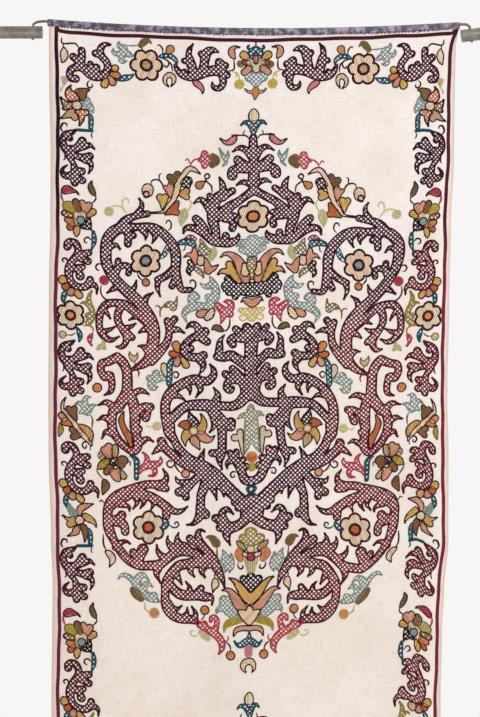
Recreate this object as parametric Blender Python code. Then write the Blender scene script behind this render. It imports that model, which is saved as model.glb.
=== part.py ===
"""Embroidered linen wall hanging on a bent brass wire between two grey bars.

Metres, +Z up. The front of the cloth faces -Y, and +X is to the right as seen from the front.
The origin is midway between the bars, at the height of the left bar's axis.
"""

import math

import bmesh
import bpy
import numpy as np
from mathutils import Matrix, Vector

# Linen panel: one length of cloth, with narrow hems turned to the back.
CLOTH_LENGTH = 1.495
CLOTH_THICKNESS = 0.0015
HEM_WIDTH = 0.009
HEM_TURN = 0.0010          # how much thicker the cloth is where its hem is turned
HEM_STEP = 0.0012          # width over which the turned hem falls back to one layer

# The cloth's side edges, hand woven and uneven: height below the top edge, left x, right x.
SIDE_EDGES = [
    # down,  left,    right
    (0.000, -0.2300, 0.2305),
    (0.085, -0.2300, 0.2292),
    (0.300, -0.2310, 0.2232),
    (0.500, -0.2310, 0.2208),
    (0.600, -0.2282, 0.2192),
    (0.660, -0.2270, 0.2152),
    (0.760, -0.2275, 0.2138),
    (1.100, -0.2268, 0.2142),
    (1.495, -0.2284, 0.2156),
]

# Soft folds down the cloth: where they are, how wide, and how far forward (-) or back (+) they stand.
FOLDS = [
    # x,    half width, at the top, at the hem, lean of the fold over the whole length
    (-0.185, 0.040, 0.0005, -0.0065, 0.020),
    (-0.085, 0.050, 0.0010, 0.0060, -0.015),
    (0.020, 0.055, -0.0010, -0.0060, 0.020),
    (0.120, 0.045, 0.0015, 0.0065, 0.010),
    (0.205, 0.030, 0.0010, -0.0050, 0.000),
]
FOLD_START = 0.012         # the cloth is flat down to here, just below the heading
FOLD_GROWTH = 0.10         # and its folds grow from nothing over this height
STORAGE_CREASES = [0.585, 1.110]   # heights below the top where the cloth was once folded
CREASE_DEPTH = 0.0012
CREASE_HALF = 0.012
EDGE_CURL = 0.0040         # how far the side edges turn back
EDGE_CURL_WIDTH = 0.016
BOTTOM_WAVE = 0.0012       # unevenness of the bottom hem

# The line that the wire takes through the heading: two ends and its sag between them.
WIRE_RADIUS = 0.0015
WIRE_LEFT = Vector((-0.2317, 0.0, 0.0124))
WIRE_RIGHT = Vector((0.2357, 0.0, 0.0090))
WIRE_SAG = 0.0085
CLOTH_BELOW_WIRE = 0.0023  # from the wire's axis down to the cloth's top edge
SAG_KEPT_AT_HEM = 0.45     # share of the top edge's sag that still shows at the bottom hem

# Heading: a tape folded over the wire, its two legs sewn to the cloth's top edge.
TAPE_THICKNESS = 0.0009
TAPE_BEND_RADIUS = 0.00245  # to the middle of the tape
TAPE_GAP = 0.0003
TAPE_FRONT_DROP = 0.0051   # from the wire's axis to the front leg's lower edge
TAPE_BACK_DROP = 0.0090

# Bars that the wire's ends drop into. Only their outer ends are held.
BAR_RADIUS = 0.0070
BAR_LENGTH = 0.130
BAR_CHAMFER = 0.0006
BAR_HOLE_RADIUS = 0.0019
BAR_HOLE_INSET = 0.011     # from a bar's inner end to its hole
LEFT_BAR_END = Vector((-0.2373, 0.0, 0.0))
RIGHT_BAR_END = Vector((0.2371, 0.0, -0.0044))
LEFT_BAR_RISE = 0.0        # degrees above level, going outwards
RIGHT_BAR_RISE = 7.5
WIRE_TAIL = 0.0015         # how far the wire's ends stick out below the bars
WIRE_BEND_REACH = 0.0062   # length of the handles that shape the bend over each bar

# How finely the solids are divided.
PANEL_COLUMNS = 22
PANEL_ROWS = 64
TAPE_STATIONS = 34
TAPE_ARC_POINTS = 9
WIRE_STATIONS = 30
WIRE_BEND_POINTS = 9
WIRE_TAIL_POINTS = 4
BAR_SIDES = 32
HOLE_SIDES = 16


def clear_scene():
    for item in list(bpy.data.objects):
        bpy.data.objects.remove(item)


def material(name, colour, roughness, metallic=0.0):
    made = bpy.data.materials.new(name)
    made.use_nodes = True
    shader = made.node_tree.nodes["Principled BSDF"]
    shader.inputs["Base Color"].default_value = (*colour, 1.0)
    shader.inputs["Roughness"].default_value = roughness
    shader.inputs["Metallic"].default_value = metallic
    return made


def add_object(name, mesh, finish):
    item = bpy.data.objects.new(name, mesh)
    bpy.context.scene.collection.objects.link(item)
    mesh.materials.append(finish)
    return item


def mesh_from(name, points, faces):
    mesh = bpy.data.meshes.new(name)
    mesh.from_pydata([tuple(p) for p in points], [], faces)
    mesh.validate()
    mesh.update()
    return mesh


def ease(share):
    """0 to 1 with level ends, for numbers or arrays."""
    share = np.clip(share, 0.0, 1.0)
    return share * share * (3.0 - 2.0 * share)


def eased_table(rows, column, at):
    """The table's column at each height, passing from row to row with level ends."""
    heights = np.array([row[0] for row in rows])
    values = np.array([row[column] for row in rows])
    index = np.clip(np.searchsorted(heights, at, side="right") - 1, 0, len(rows) - 2)
    span = heights[index + 1] - heights[index]
    return values[index] + (values[index + 1] - values[index]) * ease((at - heights[index]) / span)


def wire_height(x):
    """Height of the wire's axis: a straight line between its ends, less a parabola of sag."""
    share = (x - WIRE_LEFT.x) / (WIRE_RIGHT.x - WIRE_LEFT.x)
    line = WIRE_LEFT.z + (WIRE_RIGHT.z - WIRE_LEFT.z) * share
    return line - WIRE_SAG * 4.0 * share * (1.0 - share)


def cloth_middle(across, down):
    """Points midway through the cloth's thickness. across runs from 0 at the left edge to 1 at the right."""
    left = eased_table(SIDE_EDGES, 1, down)
    right = eased_table(SIDE_EDGES, 2, down)
    x = left + (right - left) * across
    grown = ease((down - FOLD_START) / FOLD_GROWTH)
    fallen = down / CLOTH_LENGTH
    y = np.zeros_like(x)
    for place, half_width, at_top, at_hem, lean in FOLDS:
        reach = (x - place - lean * fallen) / half_width
        y += (at_top + (at_hem - at_top) * fallen) * np.exp(-reach * reach) * grown
    for height in STORAGE_CREASES:
        reach = (down - height) / CREASE_HALF
        y -= CREASE_DEPTH * np.exp(-reach * reach)
    to_edge = np.minimum(x - left, right - x)
    y += EDGE_CURL * grown * (1.0 - ease(to_edge / EDGE_CURL_WIDTH))
    level = wire_height(np.zeros_like(x))
    kept = 1.0 - (1.0 - SAG_KEPT_AT_HEM) * fallen
    z = level + (wire_height(x) - level) * kept - CLOTH_BELOW_WIRE - down
    z += BOTTOM_WAVE * np.sin(x * 31.0 + 0.6) * ease((fallen - 0.9) / 0.1)
    return np.stack([x, y, z], axis=-1)


def normals_of(grid):
    """Unit normals of a grid of points, pointing to the front."""
    along = np.gradient(grid, axis=1)
    down = np.gradient(grid, axis=0)
    normal = np.cross(down, along)
    normal /= np.linalg.norm(normal, axis=-1, keepdims=True)
    return np.where(normal[..., 1:2] > 0.0, -normal, normal)


def panel_lines(length, count, hem):
    """Positions along one direction: even steps, with two lines where each end's hem falls back."""
    inner = np.linspace(hem + HEM_STEP, length - hem - HEM_STEP, count)
    return np.concatenate([[0.0, hem], inner, [length - hem, length]])


def linen_panel(finish):
    """The cloth as one closed sheet: front and back grids joined round their rim."""
    width = SIDE_EDGES[0][2] - SIDE_EDGES[0][1]
    across = panel_lines(width, PANEL_COLUMNS, HEM_WIDTH) / width
    heights = np.linspace(FOLD_START, CLOTH_LENGTH - HEM_WIDTH - HEM_STEP, PANEL_ROWS)
    down = np.concatenate([[0.0], heights, [CLOTH_LENGTH - HEM_WIDTH, CLOTH_LENGTH]])
    grid_across, grid_down = np.meshgrid(across, down)
    middle = cloth_middle(grid_across, grid_down)
    normal = normals_of(middle)
    hemmed = np.zeros(grid_across.shape)
    hemmed[:, :2] = 1.0
    hemmed[:, -2:] = 1.0
    hemmed[-2:, :] = 1.0
    front = middle + normal * CLOTH_THICKNESS / 2
    below_heading = ease((grid_down - FOLD_START) / HEM_WIDTH)
    turn = (CLOTH_THICKNESS / 2 + HEM_TURN * hemmed * below_heading)[..., None]
    back = middle - normal * turn
    rows, columns = grid_across.shape
    points = np.concatenate([front.reshape(-1, 3), back.reshape(-1, 3)])
    behind = rows * columns

    def at(row, column, side=0):
        return row * columns + column + side

    faces = []
    for row in range(rows - 1):
        for column in range(columns - 1):
            corners = [(row, column), (row + 1, column), (row + 1, column + 1), (row, column + 1)]
            faces.append([at(r, c) for r, c in corners])
            faces.append([at(r, c, behind) for r, c in reversed(corners)])
    rim = [(0, c) for c in range(columns)]
    rim += [(r, columns - 1) for r in range(1, rows)]
    rim += [(rows - 1, c) for c in range(columns - 2, -1, -1)]
    rim += [(r, 0) for r in range(rows - 2, 0, -1)]
    for first, second in zip(rim, rim[1:] + rim[:1]):
        faces.append([at(*first), at(*second), at(*second, behind), at(*first, behind)])
    mesh = mesh_from("linen_panel", points, faces)
    mesh.shade_smooth()
    mesh.set_sharp_from_angle(angle=math.radians(50))
    return add_object("linen_panel", mesh, finish)


def tape_section():
    """Outline of the folded tape about the wire's axis, as (back, up) pairs: down the outside, up the inside."""
    leg = CLOTH_THICKNESS / 2 + TAPE_GAP + TAPE_THICKNESS / 2
    throat = -math.asin(math.sqrt(1.0 - (leg / TAPE_BEND_RADIUS) ** 2))
    angles = np.linspace(math.pi - throat, throat, TAPE_ARC_POINTS)
    middle = [(-leg, -TAPE_FRONT_DROP)]
    middle += [(TAPE_BEND_RADIUS * math.cos(a), TAPE_BEND_RADIUS * math.sin(a)) for a in angles]
    middle += [(leg, -TAPE_BACK_DROP)]
    middle = np.array(middle)
    tangent = np.gradient(middle, axis=0)
    tangent /= np.linalg.norm(tangent, axis=1, keepdims=True)
    tangent[0] = (0.0, 1.0)
    tangent[-1] = (0.0, -1.0)
    outward = np.stack([-tangent[:, 1], tangent[:, 0]], axis=1)
    outer = middle + outward * TAPE_THICKNESS / 2
    inner = middle - outward * TAPE_THICKNESS / 2
    return np.concatenate([outer, inner[::-1]])


def heading_sleeve(finish):
    """The tape's section carried along the wire's sag, closed at both cut ends."""
    section = tape_section()
    stations = np.linspace(WIRE_LEFT.x, WIRE_RIGHT.x, TAPE_STATIONS)
    points = []
    for x in stations:
        rise = wire_height(x)
        points += [(x, back, up + rise) for back, up in section]
    ring = len(section)
    faces = []
    for station in range(TAPE_STATIONS - 1):
        start = station * ring
        for k in range(ring):
            following = (k + 1) % ring
            faces.append([start + k, start + following, start + ring + following, start + ring + k])
    half = ring // 2
    last = (TAPE_STATIONS - 1) * ring
    for k in range(half - 1):
        cap = [k, ring - 1 - k, ring - 2 - k, k + 1]
        faces.append(cap)
        faces.append([last + index for index in reversed(cap)])
    mesh = mesh_from("heading_sleeve", points, faces)
    body = bmesh.new()
    body.from_mesh(mesh)
    bmesh.ops.recalc_face_normals(body, faces=body.faces)
    body.to_mesh(mesh)
    body.free()
    mesh.shade_smooth()
    mesh.set_sharp_from_angle(angle=math.radians(40))
    return add_object("heading_sleeve", mesh, finish)


def bar_frame(inner_end, rise, side):
    """The bar's outward direction, its upward normal, and the place of its hole's axis."""
    angle = math.radians(rise)
    outward = Vector((side * math.cos(angle), 0.0, math.sin(angle)))
    upward = Vector((-side * math.sin(angle), 0.0, math.cos(angle)))
    return outward, upward, inner_end + outward * BAR_HOLE_INSET


def bent_end(start, heading, inner_end, rise, side):
    """The wire's bend over a bar and its tail down the hole, as a cubic curve and a straight run."""
    outward, upward, hole = bar_frame(inner_end, rise, side)
    mouth = hole + upward * (BAR_RADIUS - 0.0005)
    tail = hole - upward * (BAR_RADIUS + WIRE_TAIL)
    first_handle = start + heading * WIRE_BEND_REACH
    second_handle = mouth + upward * WIRE_BEND_REACH
    points = []
    for step in range(1, WIRE_BEND_POINTS + 1):
        t = step / WIRE_BEND_POINTS
        points.append(
            start * (1 - t) ** 3
            + first_handle * 3 * t * (1 - t) ** 2
            + second_handle * 3 * t * t * (1 - t)
            + mouth * t ** 3
        )
    points += [mouth.lerp(tail, step / WIRE_TAIL_POINTS) for step in range(1, WIRE_TAIL_POINTS + 1)]
    return points


def hanging_wire(finish):
    """One bent length of wire: down through the left bar, along the heading, down through the right bar."""
    stations = np.linspace(WIRE_LEFT.x, WIRE_RIGHT.x, WIRE_STATIONS)
    along = [Vector((x, 0.0, float(wire_height(x)))) for x in stations]
    left_heading = (along[0] - along[1]).normalized()
    right_heading = (along[-1] - along[-2]).normalized()
    left = bent_end(along[0], left_heading, LEFT_BAR_END, LEFT_BAR_RISE, -1)
    right = bent_end(along[-1], right_heading, RIGHT_BAR_END, RIGHT_BAR_RISE, 1)
    line = left[::-1] + along + right
    curve = bpy.data.curves.new("hanging_wire", "CURVE")
    curve.dimensions = "3D"
    curve.bevel_depth = WIRE_RADIUS
    curve.bevel_resolution = 3
    curve.use_fill_caps = True
    spline = curve.splines.new("POLY")
    spline.points.add(len(line) - 1)
    for point, place in zip(spline.points, line):
        point.co = (*place, 1.0)
    item = bpy.data.objects.new("hanging_wire", curve)
    bpy.context.scene.collection.objects.link(item)
    curve.materials.append(finish)
    return item


def cylinder(name, radius, length, sides, place, direction):
    """A closed cylinder centred on place, with its axis along direction."""
    mesh = bpy.data.meshes.new(name)
    body = bmesh.new()
    bmesh.ops.create_cone(
        body, cap_ends=True, segments=sides, radius1=radius, radius2=radius, depth=length
    )
    turn = direction.to_track_quat("Z", "Y").to_matrix().to_4x4()
    bmesh.ops.transform(body, matrix=Matrix.Translation(place) @ turn, verts=body.verts)
    body.to_mesh(mesh)
    body.free()
    return mesh


def support_bar(name, inner_end, rise, side, finish):
    """A round bar with chamfered ends and a hole drilled through it for the wire's tail."""
    outward, upward, hole = bar_frame(inner_end, rise, side)
    middle = inner_end + outward * BAR_LENGTH / 2
    bar = add_object(name, cylinder(name, BAR_RADIUS, BAR_LENGTH, BAR_SIDES, middle, outward), finish)
    chamfer = bar.modifiers.new("chamfer", "BEVEL")
    chamfer.width = BAR_CHAMFER
    chamfer.segments = 2
    chamfer.limit_method = "ANGLE"
    chamfer.angle_limit = math.radians(60)
    drill_mesh = cylinder(name + "_drill", BAR_HOLE_RADIUS, BAR_RADIUS * 4, HOLE_SIDES, hole, upward)
    drill = bpy.data.objects.new(name + "_drill", drill_mesh)
    bpy.context.scene.collection.objects.link(drill)
    drill.hide_render = True
    drill.display_type = "WIRE"
    cut = bar.modifiers.new("wire_hole", "BOOLEAN")
    cut.operation = "DIFFERENCE"
    cut.object = drill
    bar.data.shade_smooth()
    bar.data.set_sharp_from_angle(angle=math.radians(30))
    return bar


def main():
    clear_scene()
    linen = material("linen", (0.86, 0.79, 0.72), 0.9)
    tape = material("heading_tape", (0.26, 0.22, 0.27), 0.8)
    brass = material("aged_brass", (0.25, 0.19, 0.09), 0.45, 0.9)
    grey_metal = material("grey_metal", (0.17, 0.155, 0.135), 0.5, 0.6)
    linen_panel(linen)
    heading_sleeve(tape)
    hanging_wire(brass)
    support_bar("bar_left", LEFT_BAR_END, LEFT_BAR_RISE, -1, grey_metal)
    support_bar("bar_right", RIGHT_BAR_END, RIGHT_BAR_RISE, 1, grey_metal)


main()
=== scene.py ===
# An embroidered linen wall hanging on its bent wire, seen as in the photograph.
# The solids come from the frame. This script adds the woven cloth, the folded heading tape and
# every stitched motif, all worked out flat on the cloth and then hung with it.
import math

import bpy
import numpy as np
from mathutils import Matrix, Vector


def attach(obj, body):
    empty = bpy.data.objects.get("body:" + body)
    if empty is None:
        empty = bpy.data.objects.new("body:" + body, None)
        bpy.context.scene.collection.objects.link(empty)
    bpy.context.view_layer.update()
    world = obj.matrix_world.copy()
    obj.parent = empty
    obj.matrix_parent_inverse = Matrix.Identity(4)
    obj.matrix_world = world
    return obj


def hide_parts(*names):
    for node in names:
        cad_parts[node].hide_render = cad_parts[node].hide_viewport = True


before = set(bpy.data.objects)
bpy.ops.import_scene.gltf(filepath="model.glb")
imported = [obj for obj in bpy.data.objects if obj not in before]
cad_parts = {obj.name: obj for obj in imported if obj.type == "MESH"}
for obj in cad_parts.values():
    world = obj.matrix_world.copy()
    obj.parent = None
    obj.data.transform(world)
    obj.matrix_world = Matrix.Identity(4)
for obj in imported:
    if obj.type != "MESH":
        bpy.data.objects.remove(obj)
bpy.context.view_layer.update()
print("frame loaded:", ", ".join(sorted(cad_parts)))

# The hung cloth
cloth = {
    "length": 1.495,        # top edge to bottom hem, m
    "halfWidth": 0.230,     # flat, from the pattern's centre line to either edge
    "thickness": 0.0011,
    "hemWidth": 0.009,
    "hemTurn": 0.0009,      # extra thickness behind each hem
    "belowWire": 0.0023,    # wire axis to the cloth's top edge
    "sagKept": 0.45,        # share of the wire's sag left at the bottom hem
    "flatUntil": 0.012,     # no folds above this, behind the heading
    "foldGrowth": 0.10,
    "edgeCurl": 0.0040,
    "edgeCurlWidth": 0.016,
    "creaseHeights": (0.585, 1.110),
    "creaseDepth": 0.0012,
    "creaseHalf": 0.012,
    "bottomWave": 0.0012,
    "pucker": 0.00022,      # the ground draws up a little between the stitched motifs
}
# down from the top edge, left edge x, right edge x, all in metres
edgeTable = np.array([
    (0.000, -0.2300, 0.2338),
    (0.022, -0.2300, 0.2310),
    (0.060, -0.2300, 0.2302),
    (0.150, -0.2285, 0.2292),
    (0.220, -0.2288, 0.2258),
    (0.300, -0.2304, 0.2240),
    (0.420, -0.2310, 0.2216),
    (0.480, -0.2308, 0.2230),
    (0.580, -0.2280, 0.2228),
    (0.635, -0.2262, 0.2180),
    (0.680, -0.2266, 0.2156),
    (0.760, -0.2275, 0.2138),
    (1.100, -0.2268, 0.2142),
    (1.495, -0.2284, 0.2156),
])
# the pattern's centre line wanders a little: down from the top edge, x
centreTable = np.array([(0.000, 0.0040), (0.070, 0.0040), (0.092, 0.0022), (0.300, 0.0004), (0.350, -0.0004), (0.500, -0.0008),
                        (0.600, -0.0016), (0.660, -0.0027), (0.760, -0.0030), (1.495, -0.0030)])
# x, half width, depth at the top, depth at the hem, lean over the whole length
foldTable = (
    (-0.185, 0.040, 0.0005, -0.0065, 0.020),
    (-0.085, 0.050, 0.0010, 0.0060, -0.015),
    (0.020, 0.055, -0.0010, -0.0060, 0.020),
    (0.120, 0.045, 0.0015, 0.0065, 0.010),
    (0.205, 0.030, 0.0010, -0.0050, 0.000),
)
wire = {"left": (-0.2317, 0.0124), "right": (0.2357, 0.0090), "sag": 0.0085, "radius": 0.0015}


def easeIn(share):  # 0 to 1 with level ends: 3s^2 - 2s^3
    share = np.clip(share, 0.0, 1.0)
    return share * share * (3.0 - 2.0 * share)


def tableAt(table, column, down):  # the table's column, eased from row to row
    down = np.clip(down, table[0, 0], table[-1, 0])
    heights, values = table[:, 0], table[:, column]
    row = np.clip(np.searchsorted(heights, down, side="right") - 1, 0, len(heights) - 2)
    share = easeIn((down - heights[row]) / (heights[row + 1] - heights[row]))
    return values[row] + (values[row + 1] - values[row]) * share


def wireHeight(x):  # a straight line between the wire's two ends, less a parabola of sag
    (leftX, leftZ), (rightX, rightZ) = wire["left"], wire["right"]
    share = (x - leftX) / (rightX - leftX)
    return leftZ + (rightZ - leftZ) * share - wire["sag"] * 4.0 * share * (1.0 - share)


def hungPoint(u, v):  # flat cloth (metres from the centre line, and down) to its hung middle surface
    left, centre, right = tableAt(edgeTable, 1, v), tableAt(centreTable, 1, v), tableAt(edgeTable, 2, v)
    x = centre + u / cloth["halfWidth"] * np.where(u < 0, centre - left, right - centre)
    grown = easeIn((v - cloth["flatUntil"]) / cloth["foldGrowth"])
    fallen = v / cloth["length"]
    y = np.zeros_like(x)
    for place, half, atTop, atHem, lean in foldTable:
        y += (atTop + (atHem - atTop) * fallen) * np.exp(-((x - place - lean * fallen) / half) ** 2)
    y *= grown
    for height in cloth["creaseHeights"]:
        y -= cloth["creaseDepth"] * np.exp(-((v - height) / cloth["creaseHalf"]) ** 2)
    toEdge = np.minimum(x - left, right - x)
    y += cloth["edgeCurl"] * grown * (1.0 - easeIn(toEdge / cloth["edgeCurlWidth"]))
    y += cloth["pucker"] * grown * np.sin(x * 290.0 + 2.0 * np.sin(v * 71.0)) * np.sin(v * 257.0 + 1.7 * x)
    level = wireHeight(0.0)
    kept = 1.0 - (1.0 - cloth["sagKept"]) * fallen
    z = level + (wireHeight(x) - level) * kept - cloth["belowWire"] - v
    z += cloth["bottomWave"] * np.sin(x * 31.0 + 0.6) * easeIn((fallen - 0.9) / 0.1)
    return np.stack([x, y, z], axis=-1)


def hang(u, v, lift):  # hung point, moved lift metres along the cloth's front normal
    step = 0.0006
    here = hungPoint(u, v)
    normal = np.cross(hungPoint(u, v + step) - here, hungPoint(u + step, v) - here)
    normal /= np.linalg.norm(normal, axis=-1, keepdims=True)
    normal *= np.where(normal[..., 1:2] > 0.0, -1.0, 1.0)
    return here + normal * np.asarray(lift)[..., None]


# The stitches, worked flat
# Charts are drawn in squares, (across, down, half width), as read on the hung cloth: the left half
# only, with the pattern's centre line at about square 252. The right half is its mirror image.
chart = {
    "square": 0.46 / 406 * 1000,   # mm: the cloth's top edge is 406 squares wide
    "origin": (252.0, 32.5),       # the square at the frame's origin
    "repeat": 583.0,               # squares from one medallion down to the next
    "fieldStep": 0.95,             # mm between the points where a motif's outline is worked out
}
stitch = {  # millimetres
    "cordWidth": 2.4,              # stem-stitched outline of a net
    "satinCord": 2.0,              # and of a satin shape
    "cordHeight": 1.0,
    "fineCord": 1.7,               # pale silks are worked with fewer strands
    "fineNet": 1.9,
    "netPitch": 3.7,               # drawn-thread net, thread to thread
    "netThread": 2.28,
    "netOver": 0.55,
    "netUnder": 0.25,
    "satinPitch": 1.9,             # drawn coarser than real floss so that it shows
    "satinStep": 2.0,
    "satinHeight": 0.45,
    "satinPuff": 0.35,
    "lineWidth": 2.6,              # single tendrils
}


def flatten(across, down):  # chart squares to flat millimetres, undoing the sag and the narrowing
    x = (np.asarray(across, float) - chart["origin"][0]) * chart["square"] / 1000
    z = (chart["origin"][1] - np.asarray(down, float)) * chart["square"] / 1000
    sag = (wireHeight(x) - wireHeight(0.0)) * (1.0 - cloth["sagKept"]) / cloth["length"]
    v = (wireHeight(x) - cloth["belowWire"] - z) / (1.0 + sag)
    left, centre, right = tableAt(edgeTable, 1, v), tableAt(centreTable, 1, v), tableAt(edgeTable, 2, v)
    u = (x - centre) / np.where(x < centre, centre - left, right - centre) * cloth["halfWidth"]
    return np.stack([u * 1000, v * 1000], axis=-1)


def brush(points, inset):  # Catmull-Rom curve through (across, down, half width), as flat millimetres
    points = np.array(points, float).reshape(-1, 3)
    if len(points) == 1:
        points = np.vstack([points, points + (0.05, 0.0, 0.0)])
    ends = np.vstack([2 * points[0] - points[1], points, 2 * points[-1] - points[-2]])
    spans = []
    for a, b, c, d in zip(ends, ends[1:], ends[2:], ends[3:]):
        steps = max(2, int(np.hypot(*(c - b)[:2]) / 1.3) + 1)
        t = np.linspace(0.0, 1.0, steps, endpoint=False)[:, None]
        spans.append(0.5 * (2 * b + (c - a) * t + (2 * a - 5 * b + 4 * c - d) * t ** 2
                            + (3 * b - a - 3 * c + d) * t ** 3))
    curve = np.vstack(spans + [points[-1:]])
    flat = flatten(curve[:, 0], curve[:, 1])
    width = np.maximum(curve[:, 2] * chart["square"] - inset, 0.5)
    return np.column_stack([flat, width])


def fieldOf(curves):
    # Signed distance to the union of brushed strokes: for each tapered piece of a stroke, the
    # distance to its middle line less its half width there, and the least of these everywhere.
    step, margin = chart["fieldStep"], 4.0
    every = np.vstack(curves)
    low = np.floor((every[:, :2] - every[:, 2:]).min(axis=0) - margin)
    high = (every[:, :2] + every[:, 2:]).max(axis=0) + margin
    size = np.ceil((high - low) / step).astype(int) + 1
    field = np.full((size[1], size[0]), margin * 2)
    for curve in curves:
        first = np.maximum(((curve[:, :2] - curve[:, 2:]).min(axis=0) - margin - low) // step, 0).astype(int)
        last = np.minimum(((curve[:, :2] + curve[:, 2:]).max(axis=0) + margin - low) // step + 2, size).astype(int)
        gridU = low[0] + step * np.arange(first[0], last[0])
        gridV = low[1] + step * np.arange(first[1], last[1])
        place = np.stack(np.meshgrid(gridU, gridV), axis=-1)[:, :, None, :]
        start, run = curve[:-1, :2], np.diff(curve[:, :2], axis=0)
        along = ((place - start) * run).sum(-1) / np.maximum((run ** 2).sum(-1), 1e-9)
        along = np.clip(along, 0.0, 1.0)
        away = place - start - run * along[..., None]
        distance = np.hypot(away[..., 0], away[..., 1]) - curve[:-1, 2] - np.diff(curve[:, 2]) * along
        part = field[first[1]:last[1], first[0]:last[0]]
        np.minimum(part, distance.min(axis=-1), out=part)
    return {"low": low, "step": step, "field": field}


def readField(worked, points, grid=None):  # bilinear reading between the field's points
    grid = worked["field"] if grid is None else grid
    place = (points - worked["low"]) / worked["step"]
    place = np.clip(place, 0.0, np.array(grid.shape[::-1]) - 1.001)
    cell = place.astype(int)
    share = place - cell
    i, j, s, t = cell[:, 0], cell[:, 1], share[:, 0], share[:, 1]
    return ((grid[j, i] * (1 - s) + grid[j, i + 1] * s) * (1 - t)
            + (grid[j + 1, i] * (1 - s) + grid[j + 1, i + 1] * s) * t)


def ribs(points, sides, ridge, edge, strand, pairs):
    # A set of thread points: flat place, half-width vector, ridge and edge lifts, a 0 to 1 number
    # for each strand's own shade, and the pairs of points that a thread runs between.
    count = len(points)
    return {"points": points, "sides": sides, "pairs": pairs,
            "ridge": np.broadcast_to(ridge, count).astype(float), "edge": np.broadcast_to(edge, count).astype(float),
            "strand": np.broadcast_to(strand, count).astype(float)}


def outlineRibs(worked, width, height):
    # Marching squares: where the field changes sign along a grid line is a point of the outline,
    # and each square with two such points joins them. The field's slope points across the cord.
    field = worked["field"]
    inside = field < 0
    across, upright = inside[:, :-1] != inside[:, 1:], inside[:-1] != inside[1:]
    acrossId, uprightId = np.full(across.shape, -1), np.full(upright.shape, -1)
    acrossId[across] = np.arange(across.sum())
    uprightId[upright] = across.sum() + np.arange(upright.sum())
    j, i = np.nonzero(across)
    share = field[j, i] / (field[j, i] - field[j, i + 1])
    onAcross = np.column_stack([i + share, j])
    j, i = np.nonzero(upright)
    share = field[j, i] / (field[j, i] - field[j + 1, i])
    points = np.vstack([onAcross, np.column_stack([i, j + share])]) * worked["step"] + worked["low"]
    ids = np.stack([acrossId[:-1], uprightId[:, 1:], acrossId[1:], uprightId[:, :-1]], axis=-1).reshape(-1, 4)
    ids = ids[(ids >= 0).sum(axis=1) >= 2]
    crossed = (ids >= 0).sum(axis=1) == 4
    pairs = np.vstack([np.sort(ids[~crossed], axis=1)[:, 2:], ids[crossed][:, :2], ids[crossed][:, 2:]])
    slopeV, slopeU = np.gradient(field)
    slope = np.column_stack([readField(worked, points, slopeU), readField(worked, points, slopeV)])
    slope /= np.maximum(np.linalg.norm(slope, axis=1, keepdims=True), 1e-6)
    wobble = 1.0 + 0.10 * np.sin(points[:, 0] * 2.1 + 3.0 * np.sin(points[:, 1] * 1.7))
    return ribs(points, slope * (wobble * width / 2)[:, None], height * wobble, -0.15, wobble * 2.5 - 2.0, pairs)


def clipped(worked, threads):  # keeps what lies inside the motif, cutting threads at its outline
    value = readField(worked, threads["points"])
    pairs = threads["pairs"]
    first, second = value[pairs[:, 0]], value[pairs[:, 1]]
    whole = pairs[(first < 0) & (second < 0)]
    cut = pairs[(first < 0) != (second < 0)]
    outFirst = value[cut[:, 0]] >= 0
    inner, outer = np.where(outFirst, cut[:, 1], cut[:, 0]), np.where(outFirst, cut[:, 0], cut[:, 1])
    share = value[inner] / (value[inner] - value[outer])
    kept = {"pairs": np.vstack([whole, np.column_stack([inner, len(value) + np.arange(len(inner))])])}
    for name in ("points", "sides", "ridge", "edge", "strand"):
        data = threads[name]
        mix = share[:, None] if data.ndim == 2 else share
        kept[name] = np.concatenate([data, data[inner] + (data[outer] - data[inner]) * mix])
    used, renamed = np.unique(kept["pairs"], return_inverse=True)
    kept["pairs"] = renamed.reshape(-1, 2)
    for name in ("points", "sides", "ridge", "edge", "strand"):
        kept[name] = kept[name][used]
    return kept


def netRibs(worked, width):
    # Two families of threads at 45 degrees, going over and under each other at every crossing.
    pitch, half = stitch["netPitch"], width / 2
    size = np.array(worked["field"].shape[::-1]) * worked["step"]
    low, high = worked["low"], worked["low"] + size
    diagonal, other = np.array([1.0, 1.0]) / math.sqrt(2), np.array([-1.0, 1.0]) / math.sqrt(2)
    corners = np.array([low, high, (low[0], high[1]), (high[0], low[1])])
    firstRange = np.arange(int((corners @ diagonal).min() // pitch), int((corners @ diagonal).max() // pitch) + 2)
    secondRange = np.arange(int((corners @ other).min() // pitch), int((corners @ other).max() // pitch) + 2)
    i, j = np.meshgrid(firstRange, secondRange)
    nodes = (i[..., None] * diagonal + j[..., None] * other) * pitch
    over = (i + j) % 2
    ids = np.arange(i.size).reshape(i.shape)
    low, high = stitch["netUnder"], stitch["netOver"]
    families = []
    for side, lifted, line, pairs in (
        (other, over, j, (ids[:, :-1], ids[:, 1:])),
        (diagonal, 1 - over, i, (ids[:-1], ids[1:])),
    ):
        shade = (np.sin(line * 12.9898) * 43758.5453) % 1.0
        families.append(clipped(worked, ribs(
            nodes.reshape(-1, 2), np.tile(side * half, (i.size, 1)), low + (high - low) * lifted.ravel(),
            -0.1, shade.ravel(), np.column_stack([pairs[0].ravel(), pairs[1].ravel()]))))
    return families


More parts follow.
